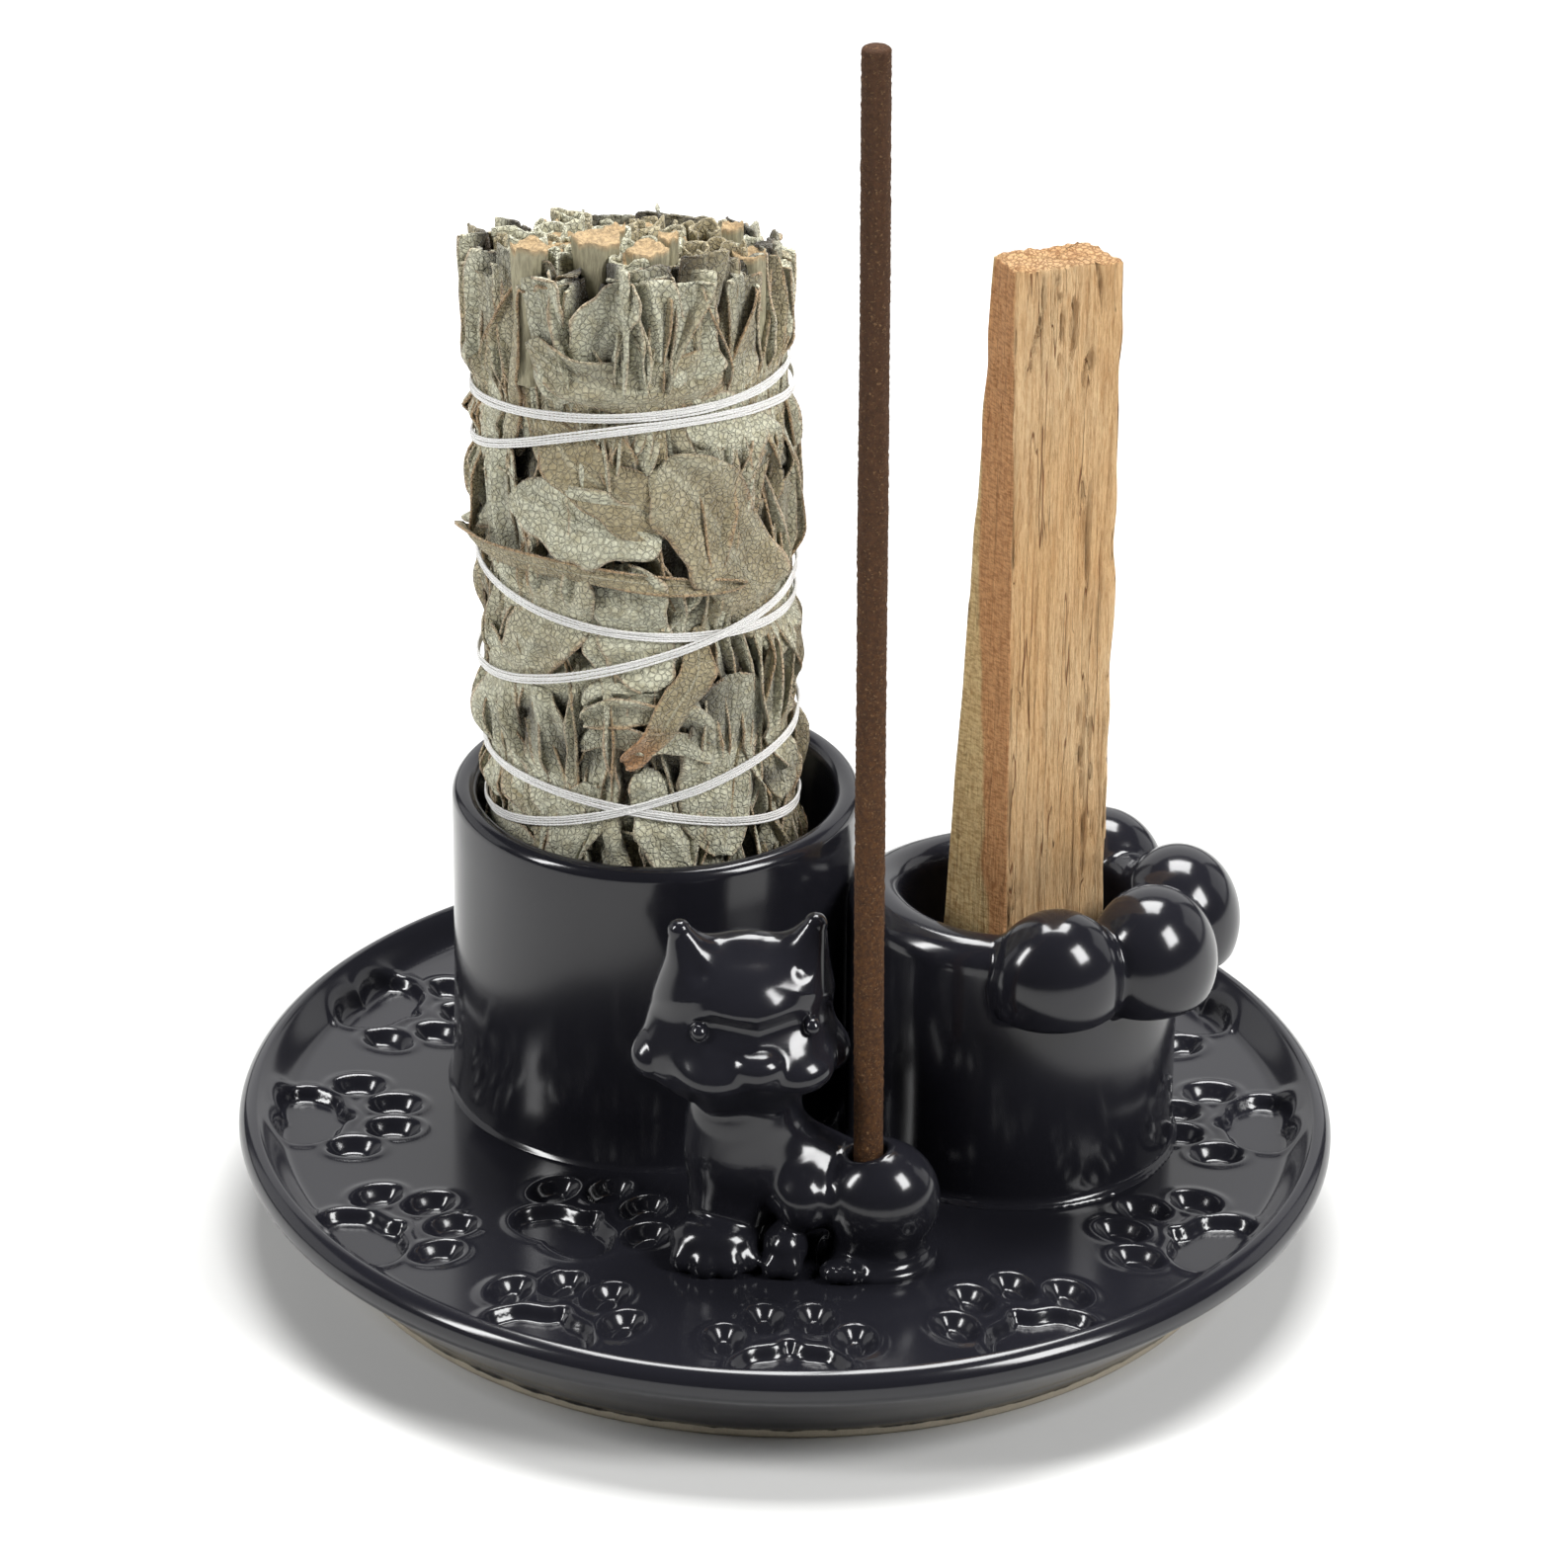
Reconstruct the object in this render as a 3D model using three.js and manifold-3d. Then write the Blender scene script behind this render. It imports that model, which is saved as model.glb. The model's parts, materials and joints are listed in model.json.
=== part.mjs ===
// An incense burner in glazed ceramic: a round dish with impressed paw prints that carries a plain
// round cup, a paw-shaped cup and a small cat whose haunch is the incense socket. A tied sage
// bundle, a palo santo stick and an incense stick stand in the three holders and lift out.
// Millimetres, +Z up, origin on the table under the dish's axis, the front of the set towards -Y.
import * as THREE from "three";
import { mergeVertices } from "three/addons/utils/BufferGeometryUtils.js";
import Module from "manifold-3d";

const wasm = await Module();
wasm.setup();

// ---------------------------------------------------------------- driving dimensions
const GAP = 0.3; // the glaze line left between two pieces that touch
const TAU = 2 * Math.PI;

const DISH_R = 75; // outer radius of the dish
const LIP_R = 2.6; // radius of the rolled lip's section
const LIP_TOP = 16.5; // height of the lip's crown
const FLOOR_Z = 12.8; // height of the dish's flat floor
const FLOOR_EDGE = 5.4; // plan width of the slope and lip outside the floor's flat part
const FOOT_R = 63.1; // outer radius of the foot ring
const FOOT_WALL = 6; // radial width of the foot ring
const FOOT_H = 6; // height of the foot ring
const DISH_SEGMENTS = 64;

const PRINTS = 12; // paw prints round the dish
const PRINT_FIRST = -89; // angle of the first print, degrees
const PRINT_DEPTH = 1.2;
const PAD_TIP_R = 59.2; // distance from the dish's axis to the inner tip of a print's pad
const PAD_LENGTH = 10.4;
const PAD_WIDTH = 15.6;
const TOE_LENGTH = 6.6;
const TOE_WIDTH = 4.6;
const TOE_OUTER = { r: 59.0, spread: 8.6 }; // side toes: distance from the axis, sideways offset
const TOE_INNER = { r: 53.8, spread: 3.3 }; // middle toes
const INNER_PRINT = { shift: 22.6, angle: -133 }; // one more print, nearer the middle

const SAGE_CUP = { x: -18.4, y: 12.9, r: 27.8, wall: 3.4, height: 45.4 };
const WOOD_CUP = { r: 22.5, wall: 7.8, height: 38.9 };
const CUP_SPACE = 0.456; // gap between the cups' walls
const CUP_LINE = -15.543; // direction of the paw cup's axis from the sage cup's, degrees
const CUP_SEGMENTS = 48;

// toes of the paw cup: how far the centre lies inside the cup's outer wall, direction in degrees,
// drop of the centre below the cup's top, radius
const PAW_TOES = [
  { inset: 2.5, angle: -73, drop: 3.8, r: 7.6 },
  { inset: 1.3, angle: -32, drop: 5.2, r: 8.6 },
  { inset: 0.1, angle: 6, drop: 5.4, r: 8.4 },
  { inset: 1.9, angle: 53, drop: 6.8, r: 7.9 },
];
const TOE_GROWTH = WOOD_CUP.r / 22.5; // the toes grow and shrink with the cup
for (const toe of PAW_TOES) {
  toe.inset *= TOE_GROWTH;
  toe.drop *= TOE_GROWTH;
  toe.r *= TOE_GROWTH;
}

const HAUNCH = { x: 12.3, y: -36.2, baseR: 8, domeR: 7.3, waistZ: 20.5, height: 16.6 };
const INCENSE_R = 2;
const INCENSE_CLEARANCE = 0.5; // radial play of the stick in its socket
const INCENSE_LENGTH = 167.6;
const INCENSE_LEAN = -0.7; // degrees about Y
const SOCKET = { x: 11, y: -36.2, floor: 4.2, mouthR: 3.4, mouthDepth: 1.2 };

const CAT = { x: -6.2, y: -33.2 }; // axis of the cat's chest and head
const CHEST = { r: 6.6, depth: 6.4, height: 21.5 };
const HEAD = { z: 45.8, width: 24.4, depth: 19.6, height: 25.4 };
const CHEEK_SPAN = 29.2; // from one cheek's tip to the other's
const EAR_SPACING = 18.9;
const EAR_HEIGHT = 9.6;

const BUNDLE = { r: 21.1, length: 122.6, lift: 0.6 };
const BUNDLE_SEGMENTS = 40;
const STEM_RISE = 5; // how far the cut stems stand above the leaves
const STEMS = 9;
const THREAD = { width: 1.6, thick: 0.5 };
const THREAD_LAYERS = 2;
// thread bands: mean height above the bundle's bottom, rise towards +X, rise towards +Y, layer
const THREAD_BANDS = [
  { name: "thread_upper_1", z: 106.8, rx: 2.6, ry: -1.5, layer: 0 },
  { name: "thread_upper_2", z: 102.6, rx: 4.4, ry: -3.6, layer: 1 },
  { name: "thread_middle_1", z: 78.6, rx: -1.4, ry: 1.8, layer: 0 },
  { name: "thread_middle_2", z: 70.6, rx: 5.2, ry: 0.6, layer: 1 },
  { name: "thread_lower_1", z: 50.6, rx: -4.6, ry: -1.8, layer: 0 },
  { name: "thread_lower_2", z: 51.6, rx: 6.2, ry: 1.6, layer: 1 },
];

// palo santo stick: plan corners at the foot and at the top, from the stick's own axis
const WOOD = { length: 128.6, lift: 0.6 };
const WOOD_FOOT = [[-0.5, -6.8], [12.1, -2.8], [8.0, 5.2], [-11.0, 1.9]];
const WOOD_TOP = [[-2.6, -5.3], [11.6, -1.3], [7.2, 5.7], [-5.3, 0.7]];

// ---------------------------------------------------------------- materials
const glaze = () => new THREE.MeshStandardMaterial({ color: 0x0b0b0c, roughness: 0.06 });
const bareClay = () => new THREE.MeshStandardMaterial({ color: 0xcabfa8, roughness: 0.85 });
const leaf = () => new THREE.MeshStandardMaterial({ color: 0x8f9279, roughness: 0.9 });
const stemTan = () => new THREE.MeshStandardMaterial({ color: 0xb79a6a, roughness: 0.85 });
const cotton = () => new THREE.MeshStandardMaterial({ color: 0xe9e9e6, roughness: 0.9 });
const incense = () => new THREE.MeshStandardMaterial({ color: 0x5d3a25, roughness: 0.95 });
const wood = () => new THREE.MeshStandardMaterial({ color: 0xc08a5a, roughness: 0.8 });

// ---------------------------------------------------------------- solid helpers
const radians = (degrees) => (degrees * Math.PI) / 180;

const cupSpacing = SAGE_CUP.r + WOOD_CUP.r + CUP_SPACE;
WOOD_CUP.x = SAGE_CUP.x + cupSpacing * Math.cos(radians(CUP_LINE));
WOOD_CUP.y = SAGE_CUP.y + cupSpacing * Math.sin(radians(CUP_LINE));

// A closed three.js geometry as a solid that can be joined and cut.
function solid(geometry) {
  const bare = geometry.clone();
  bare.deleteAttribute("normal");
  bare.deleteAttribute("uv");
  const merged = mergeVertices(bare, 1e-4);
  const made = new wasm.Manifold(
    new wasm.Mesh({
      numProp: 3,
      vertProperties: new Float32Array(merged.attributes.position.array),
      triVerts: new Uint32Array(merged.index.array),
    }),
  );
  return made;
}

// The solid as a named mesh with its own material.
function mesh(name, made, material) {
  const data = made.getMesh();
  const geometry = new THREE.BufferGeometry();
  geometry.setAttribute("position", new THREE.BufferAttribute(data.vertProperties, 3));
  geometry.setIndex(new THREE.BufferAttribute(data.triVerts, 1));
  geometry.computeVertexNormals();
  const node = new THREE.Mesh(geometry, material);
  node.name = name;
  return node;
}

// A lathe profile given as [radius, height] pairs, turned about +Z through (x, y).
function turned(points, segments, x = 0, y = 0) {
  const profile = points.map(([r, z]) => new THREE.Vector2(r, z));
  const geometry = new THREE.LatheGeometry(profile, segments);
  geometry.rotateX(Math.PI / 2);
  geometry.translate(x, y, 0);
  return solid(geometry);
}

// Points on a circular arc in a profile, from one angle to another in degrees.
function arc(cx, cz, r, from, to, steps) {
  return Array.from({ length: steps + 1 }, (_, i) => {
    const a = radians(from + ((to - from) * i) / steps);
    return [cx + r * Math.cos(a), cz + r * Math.sin(a)];
  });
}

// An ellipsoid, grown on every side and leaned about Y, for the modelled animal shapes.
function ellipsoid({ x, y, z, rx, ry, rz, lean = 0, fine = 16 }, grow = 0) {
  const geometry = new THREE.SphereGeometry(1, fine, Math.round(fine * 0.7));
  geometry.rotateX(Math.PI / 2);
  geometry.scale(rx + grow, ry + grow, rz + grow);
  geometry.rotateY(radians(lean));
  geometry.translate(x, y, z);
  return solid(geometry);
}

// An upright cylinder between two heights.
function post(x, y, r, low, high, segments = 24) {
  const geometry = new THREE.CylinderGeometry(r, r, high - low, segments);
  geometry.rotateX(Math.PI / 2);
  geometry.translate(x, y, (low + high) / 2);
  return solid(geometry);
}

const joined = (parts) => parts.reduce((all, next) => all.add(next));
const cut = (made, tools) => tools.reduce((left, tool) => left.subtract(tool), made);

// ---------------------------------------------------------------- dish and foot
// Plan outline of a print's pad: a heart with its point towards the dish's axis (+X is outwards).
function padShape() {
  const half = PAD_WIDTH / 2;
  const shape = new THREE.Shape();
  shape.moveTo(0, 0);
  shape.quadraticCurveTo(0.35 * PAD_LENGTH, 0.5 * half, 0.62 * PAD_LENGTH, 0.95 * half);
  shape.quadraticCurveTo(PAD_LENGTH, half, 0.96 * PAD_LENGTH, 0.3 * half);
  shape.lineTo(0.84 * PAD_LENGTH, 0);
  shape.lineTo(0.96 * PAD_LENGTH, -0.3 * half);
  shape.quadraticCurveTo(PAD_LENGTH, -half, 0.62 * PAD_LENGTH, -0.95 * half);
  shape.quadraticCurveTo(0.35 * PAD_LENGTH, -0.5 * half, 0, 0);
  return shape;
}

function toeShape(x, y) {
  const shape = new THREE.Shape();
  shape.absellipse(x, y, TOE_LENGTH / 2, TOE_WIDTH / 2, 0, TAU, false, 0);
  return shape;
}

// The five cutting blocks of one print whose pad tip lies at a radius along an angle.
function printCutters(shift, angle) {
  const cutters = [];
  const block = (shape, x, y, curveSegments) => {
    const geometry = new THREE.ExtrudeGeometry(shape, {
      depth: PRINT_DEPTH + 1,
      bevelEnabled: false,
      curveSegments,
    });
    geometry.translate(x, y, FLOOR_Z - PRINT_DEPTH);
    geometry.rotateZ(radians(angle));
    cutters.push(solid(geometry));
  };
  block(padShape(), PAD_TIP_R - shift, 0, 2);
  for (const toe of [TOE_OUTER, TOE_INNER])
    for (const side of [-1, 1]) block(toeShape(toe.r - shift, side * toe.spread), 0, 0, 8);
  return cutters;
}

function dish() {
  const lipX = DISH_R - LIP_R;
  const lipZ = LIP_TOP - LIP_R;
  const underZ = FOOT_H + GAP;
  const body = turned(
    [
      [0, underZ],
      [FOOT_R + 1.2, underZ],
      ...arc(lipX, lipZ, LIP_R, -70, 125, 8),
      [DISH_R - FLOOR_EDGE, FLOOR_Z],
      [0, FLOOR_Z],
    ],
    DISH_SEGMENTS,
  );
  const cutters = printCutters(INNER_PRINT.shift, INNER_PRINT.angle);
  for (let i = 0; i < PRINTS; i += 1)
    cutters.push(...printCutters(0, PRINT_FIRST + (360 * i) / PRINTS));
  return cut(body, cutters);
}

function footRing() {
  const inner = FOOT_R - FOOT_WALL;
  return turned(
    [
      [inner, 0],
      [FOOT_R, 0],
      [FOOT_R + 0.8, FOOT_H],
      [inner, FOOT_H],
      [inner, 0],
    ],
    DISH_SEGMENTS,
  );
}

// ---------------------------------------------------------------- cups
// A round wall with a rolled lip that stands on the dish's floor.
function cupWall({ x, y, r, wall, height }) {
  const bottom = FLOOR_Z + GAP;
  const top = FLOOR_Z + height;
  const half = wall / 2;
  const lip = arc(r - half, top - half, half, 0, 180, 6);
  return turned(
    [[r - wall, bottom], [r, bottom], ...lip, [r - wall, bottom]],
    CUP_SEGMENTS,
    x,
    y,
  );
}

function pawToe(index) {
  const centre = (toe) => ({
    x: WOOD_CUP.x + (WOOD_CUP.r - toe.inset) * Math.cos(radians(toe.angle)),
    y: WOOD_CUP.y + (WOOD_CUP.r - toe.inset) * Math.sin(radians(toe.angle)),
    z: FLOOR_Z + WOOD_CUP.height - toe.drop,
    rx: toe.r,
    ry: toe.r,
    rz: toe.r,
  });
  const top = FLOOR_Z + WOOD_CUP.height;
  const half = WOOD_CUP.wall / 2;
  const { x, y, r, wall } = WOOD_CUP;
  const wallTool = turned(
    [
      [0, FLOOR_Z],
      [r + GAP, FLOOR_Z],
      ...arc(r - half, top - half, half + GAP, 0, 90, 4),
      [0, top + GAP],
    ],
    CUP_SEGMENTS,
    x,
    y,
  );
  const hole = post(x, y, r - wall, FLOOR_Z, top + PAW_TOES[index].r + 1);
  const others = PAW_TOES.slice(0, index).map((toe) => ellipsoid(centre(toe), GAP));
  return cut(ellipsoid(centre(PAW_TOES[index])), [wallTool, hole, ...others]);
}

// ---------------------------------------------------------------- cat
function haunch(grow = 0) {
  const { x, y, baseR, domeR, waistZ, height } = HAUNCH;
  const bottom = FLOOR_Z + GAP - grow;
  const top = FLOOR_Z + height;
  const domeZ = top - domeR;
  return turned(
    [
      [0, bottom],
      [baseR + grow, bottom],
      [baseR + grow, bottom + 4],
      [domeR + grow, waistZ],
      ...arc(0, domeZ, domeR + grow, 0, 78, 5),
      [0, top + grow],
    ],
    24,
    x,
    y,
  );
}

function socketHole() {
  const top = FLOOR_Z + HAUNCH.height;
  const r = INCENSE_R + INCENSE_CLEARANCE;
  return turned(
    [
      [0, FLOOR_Z + SOCKET.floor],
      [r, FLOOR_Z + SOCKET.floor],
      [r, top - SOCKET.mouthDepth],
      [SOCKET.mouthR, top],
      [SOCKET.mouthR, top + 2],
      [0, top + 2],
    ],
    16,
    SOCKET.x,
    SOCKET.y,
  );
}

function chest(grow = 0) {
  const bottom = FLOOR_Z + GAP - grow;
  const geometry = new THREE.LatheGeometry(
    [
      [0, bottom],
      [CHEST.r * 0.86 + grow, bottom],
      [CHEST.r + grow, bottom + 0.45 * CHEST.height],
      [CHEST.r * 0.94 + grow, bottom + 0.8 * CHEST.height],
      [0, bottom + CHEST.height + grow],
    ].map(([r, z]) => new THREE.Vector2(r, z)),
    20,
  );
  geometry.rotateX(Math.PI / 2);
  geometry.scale(1, CHEST.depth / CHEST.r, 1);
  geometry.translate(CAT.x - 0.8, CAT.y, 0);
  return solid(geometry);
}

const FLANK = { x: CAT.x + 8, y: CAT.y - 1.2, z: 25.4, rx: 9.6, ry: 6.4, rz: 6.6, lean: 14 };
const SKULL = {
  x: CAT.x,
  y: CAT.y,
  z: HEAD.z,
  rx: HEAD.width / 2,
  ry: HEAD.depth / 2,
  rz: HEAD.height / 2,
  fine: 20,
};
const CHEEKS = { ...SKULL, y: CAT.y - 1.4, z: HEAD.z - 2.6, rx: CHEEK_SPAN / 2, ry: 6.6, rz: 5.4 };
const MUZZLE = { x: CAT.x + 1, y: CAT.y - 8.4, z: HEAD.z - 4, rx: 6.8, ry: 3.4, rz: 3.6 };
const FOOT_LEFT = { x: -10, y: CAT.y - 5.2, z: FLOOR_Z + 3.5, rx: 5.7, ry: 4.4, rz: 3.2 };
const FOOT_RIGHT = { x: -0.5, y: CAT.y - 6.2, z: FLOOR_Z + 3.5, rx: 3.2, ry: 3.7, rz: 3.2 };
const KNEE = { x: 2.6, y: CAT.y - 6.6, z: FLOOR_Z + 10, rx: 3.1, ry: 2.6, rz: 3.4 };
const HIND_FOOT = { x: 4.6, y: CAT.y - 7.6, z: FLOOR_Z + 3.2, rx: 2.2, ry: 2.6, rz: 2.9 };

const head = (grow = 0) => joined([ellipsoid(SKULL, grow), ellipsoid(CHEEKS, grow)]);
const torsoTools = () => [chest(GAP), ellipsoid(FLANK, GAP)];

function torso() {
  const made = joined([chest(), ellipsoid(FLANK)]);
  return cut(made, [haunch(GAP), head(GAP)]);
}

function ear(side) {
  const shape = {
    x: CAT.x + 0.4 + (side * EAR_SPACING) / 2,
    y: CAT.y,
    z: HEAD.z + HEAD.height / 2 - 1.4,
    rx: 2.9,
    ry: 2.2,
    rz: EAR_HEIGHT / 2,
    lean: side * 8,
    fine: 12,
  };
  return cut(ellipsoid(shape), [head(GAP)]);
}

const catPieces = () => [
  ["cat_torso", torso()],
  ["cat_haunch", cut(haunch(), [socketHole()])],
  ["cat_head", head()],
  ["cat_muzzle", cut(ellipsoid(MUZZLE), [head(GAP)])],
  ["cat_ear_left", ear(-1)],
  ["cat_ear_right", ear(1)],
  ["cat_front_foot_left", cut(ellipsoid(FOOT_LEFT), torsoTools())],
  ["cat_front_foot_right", cut(ellipsoid(FOOT_RIGHT), [...torsoTools(), ellipsoid(FOOT_LEFT, GAP)])],
  ["cat_knee", cut(ellipsoid(KNEE), [...torsoTools(), haunch(GAP), ellipsoid(FOOT_RIGHT, GAP)])],
  [
    "cat_hind_foot",
    cut(ellipsoid(HIND_FOOT), [
      ...torsoTools(),
      haunch(GAP),
      ellipsoid(FOOT_RIGHT, GAP),
      ellipsoid(KNEE, GAP),
    ]),
  ],
];

// ---------------------------------------------------------------- what stands in the holders
// The bundle leans to the cup's -X side, with room for its crossed threads.
const BUNDLE_SIDE = THREAD_LAYERS * (GAP + THREAD.thick) + GAP;
const BUNDLE_X = SAGE_CUP.x - (SAGE_CUP.r - SAGE_CUP.wall - BUNDLE.r) + BUNDLE_SIDE;
const BUNDLE_LOW = FLOOR_Z + BUNDLE.lift;
const BUNDLE_TOP = BUNDLE_LOW + BUNDLE.length;

function bundleBody() {
  const { r } = BUNDLE;
  return turned(
    [
      [0, BUNDLE_LOW],
      [r - 1.5, BUNDLE_LOW],
      [r, BUNDLE_LOW + 3],
      [r, BUNDLE_TOP - 3],
      [r - 1, BUNDLE_TOP],
      [0, BUNDLE_TOP],
    ],
    BUNDLE_SEGMENTS,
    BUNDLE_X,
    SAGE_CUP.y,
  );
}

// Cut stems on a sunflower spiral over the bundle's top, some thick and some thin.
function stem(index) {
  const reach = BUNDLE.r * 0.78 * Math.sqrt((index + 0.6) / STEMS);
  const angle = index * 2.4 - 1.9;
  const low = BUNDLE_TOP + GAP;
  const high = BUNDLE_TOP + STEM_RISE * (0.62 + 0.38 * Math.cos(index * 2.1));
  const x = BUNDLE_X + reach * Math.cos(angle);
  const y = SAGE_CUP.y + reach * Math.sin(angle);
  return post(x, y, 1.5 + 0.35 * (index % 3), low, high, 10);
}

// A flat band round the bundle, sheared so that it rises towards one side.
function threadBand({ z, rx, ry, layer }) {
  const inner = BUNDLE.r + GAP + layer * (THREAD.thick + GAP);
  const outer = inner + THREAD.thick;
  const low = -THREAD.width / 2;
  const high = THREAD.width / 2;
  const geometry = new THREE.LatheGeometry(
    [[inner, low], [outer, low], [outer, high], [inner, high], [inner, low]].map(
      ([r, h]) => new THREE.Vector2(r, h),
    ),
    BUNDLE_SEGMENTS,
  );
  geometry.rotateX(Math.PI / 2);
  geometry.applyMatrix4(
    new THREE.Matrix4().set(1, 0, 0, 0, 0, 1, 0, 0, rx / inner, ry / inner, 1, 0, 0, 0, 0, 1),
  );
  geometry.translate(BUNDLE_X, SAGE_CUP.y, BUNDLE_LOW + z);
  return solid(geometry);
}

// A split stick: a square block whose corners follow the foot outline and the top outline.
function woodStick() {
  const geometry = new THREE.BoxGeometry(1, 1, 1, 1, 1, 4);
  const low = FLOOR_Z + WOOD.lift;
  const position = geometry.attributes.position;
  const corner = (u, v) => (v < 0 ? (u < 0 ? 0 : 1) : u < 0 ? 3 : 2);
  for (let i = 0; i < position.count; i += 1) {
    const at = corner(position.getX(i), position.getY(i));
    const up = position.getZ(i) + 0.5;
    const x = WOOD_FOOT[at][0] * (1 - up) + WOOD_TOP[at][0] * up;
    const y = WOOD_FOOT[at][1] * (1 - up) + WOOD_TOP[at][1] * up;
    position.setXYZ(i, WOOD_CUP.x + x, WOOD_CUP.y + y, low + WOOD.length * up);
  }
  return solid(geometry);
}

function incenseStick() {
  const geometry = new THREE.CylinderGeometry(INCENSE_R, INCENSE_R, INCENSE_LENGTH, 16);
  geometry.rotateX(Math.PI / 2);
  geometry.translate(0, 0, INCENSE_LENGTH / 2);
  geometry.rotateY(radians(INCENSE_LEAN));
  geometry.translate(SOCKET.x + 0.1, SOCKET.y, FLOOR_Z + SOCKET.floor + GAP);
  return solid(geometry);
}

// ---------------------------------------------------------------- assembly
const burner = new THREE.Group();
burner.add(mesh("dish", dish(), glaze()));
burner.add(mesh("foot_ring", footRing(), bareClay()));
burner.add(mesh("sage_cup", cupWall(SAGE_CUP), glaze()));
burner.add(mesh("wood_cup", cupWall(WOOD_CUP), glaze()));
PAW_TOES.forEach((_, i) => burner.add(mesh(`paw_toe_${i + 1}`, pawToe(i), glaze())));
for (const [name, made] of catPieces()) burner.add(mesh(name, made, glaze()));

const bundle = new THREE.Group();
bundle.add(mesh("sage_bundle", bundleBody(), leaf()));
for (let i = 0; i < STEMS; i += 1) bundle.add(mesh(`sage_stem_${i + 1}`, stem(i), stemTan()));
for (const band of THREAD_BANDS) bundle.add(mesh(band.name, threadBand(band), cotton()));
burner.add(bundle);

burner.add(mesh("palo_santo_stick", woodStick(), wood()));
burner.add(mesh("incense_stick", incenseStick(), incense()));

export default burner;
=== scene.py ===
"""A glazed cat-and-paw incense burner with its sage bundle, palo santo stick and incense stick.

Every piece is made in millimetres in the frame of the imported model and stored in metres.
"""
import json
import math

import bpy
import numpy as np
from bpy.props import FloatProperty, FloatVectorProperty, IntProperty, PointerProperty
from mathutils import Matrix, Vector


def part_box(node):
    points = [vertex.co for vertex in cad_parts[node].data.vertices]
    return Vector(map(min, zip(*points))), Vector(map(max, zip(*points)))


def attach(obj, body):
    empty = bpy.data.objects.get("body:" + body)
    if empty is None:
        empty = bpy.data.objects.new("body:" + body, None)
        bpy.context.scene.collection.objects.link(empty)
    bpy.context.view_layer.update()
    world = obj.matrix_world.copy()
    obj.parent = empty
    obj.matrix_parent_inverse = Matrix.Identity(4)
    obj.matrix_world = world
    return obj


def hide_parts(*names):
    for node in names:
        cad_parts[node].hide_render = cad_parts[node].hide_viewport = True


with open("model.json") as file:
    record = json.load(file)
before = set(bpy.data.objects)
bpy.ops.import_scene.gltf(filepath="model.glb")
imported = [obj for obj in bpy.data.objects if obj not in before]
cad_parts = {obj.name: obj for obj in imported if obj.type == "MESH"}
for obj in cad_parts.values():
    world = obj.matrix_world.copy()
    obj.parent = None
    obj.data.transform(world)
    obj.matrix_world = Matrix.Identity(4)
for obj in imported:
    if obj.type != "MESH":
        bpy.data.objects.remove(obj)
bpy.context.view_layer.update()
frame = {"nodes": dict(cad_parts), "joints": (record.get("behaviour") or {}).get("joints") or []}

bl_info = {
    "name": "Cat incense burner",
    "version": (1, 0, 0),
    "blender": (4, 5, 0),
    "location": "3D View > Sidebar > Burner",
    "description": "Builds a glazed incense burner with its sage, wood and incense",
    "category": "Add Mesh",
}

MM = 0.001
TAU = 2 * math.pi
GOLDEN = 0.618034  # part of a turn from one leaf to the next
GLAZE_LINE = 0.3  # height that a cup stands above the dish's floor, in glaze
SAGE_WALL, PAW_WALL = 3.4, 7.8  # thickness of the two cups' walls
FOOT_RING_WIDE = 7.0
STICK_R = 2.0


def box_mm(node):
    """Lowest and highest corner of a CAD node in millimetres."""
    return [np.array(corner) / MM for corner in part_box(node)]


def centre_mm(node):
    """Middle of a CAD node's box in millimetres."""
    low, high = box_mm(node)
    return (low + high) / 2


# ---------------------------------------------------------------- numbers that vary smoothly
def ease(value, low, high):
    """0 below low, 1 above high and an even S between them."""
    t = np.clip((value - low) / (high - low), 0, 1)
    return t * t * (3 - 2 * t)


def lattice(i, j, k, seed):
    """A fixed number from -1 to 1 for each lattice point."""
    n = (i * 374761393 + j * 668265263 + k * 1440662683 + seed * 1274126177) & 0xFFFFFFFF
    n = ((n ^ (n >> 13)) * 1274126177) & 0xFFFFFFFF
    return ((n ^ (n >> 16)) & 0xFFFF) / 32767.5 - 1


def noise(x, y, z, seed=0):
    """Smooth noise from -1 to 1 with features one unit wide."""
    place = np.broadcast_arrays(x, y, z)
    base = [np.floor(v).astype(np.int64) for v in place]
    part = [v - b for v, b in zip(place, base)]
    part = [t * t * (3 - 2 * t) for t in part]
    total = 0.0
    for corner in np.ndindex(2, 2, 2):
        weight = 1.0
        for t, up in zip(part, corner):
            weight = weight * (t if up else 1 - t)
        total = total + weight * lattice(*(b + up for b, up in zip(base, corner)), seed)
    return total


def fractal(x, y, z, seed=0, octaves=3):
    """Noise with finer noise of half the height on top of it."""
    return sum(noise(x * 2**n, y * 2**n, z * 2**n, seed + n) / 2**n for n in range(octaves))


# ---------------------------------------------------------------- meshes
def quads(rows, columns, wrap_rows=False, wrap_columns=False):
    """Faces of a grid of points numbered row by row."""
    r = np.arange(rows if wrap_rows else rows - 1)
    c = np.arange(columns if wrap_columns else columns - 1)
    r, c = np.meshgrid(r, c, indexing="ij")
    r2, c2 = (r + 1) % rows, (c + 1) % columns
    here, above = r * columns, r2 * columns
    return np.stack([here + c, here + c2, above + c2, above + c], -1).reshape(-1, 4)


def closed_tube(rows, columns):
    """Faces of a tube of points numbered ring by ring, with a face on each end."""
    last = (rows - 1) * columns
    ends = [list(range(columns))[::-1], list(range(last, last + columns))]
    return quads(rows, columns, wrap_columns=True).tolist() + ends


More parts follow.
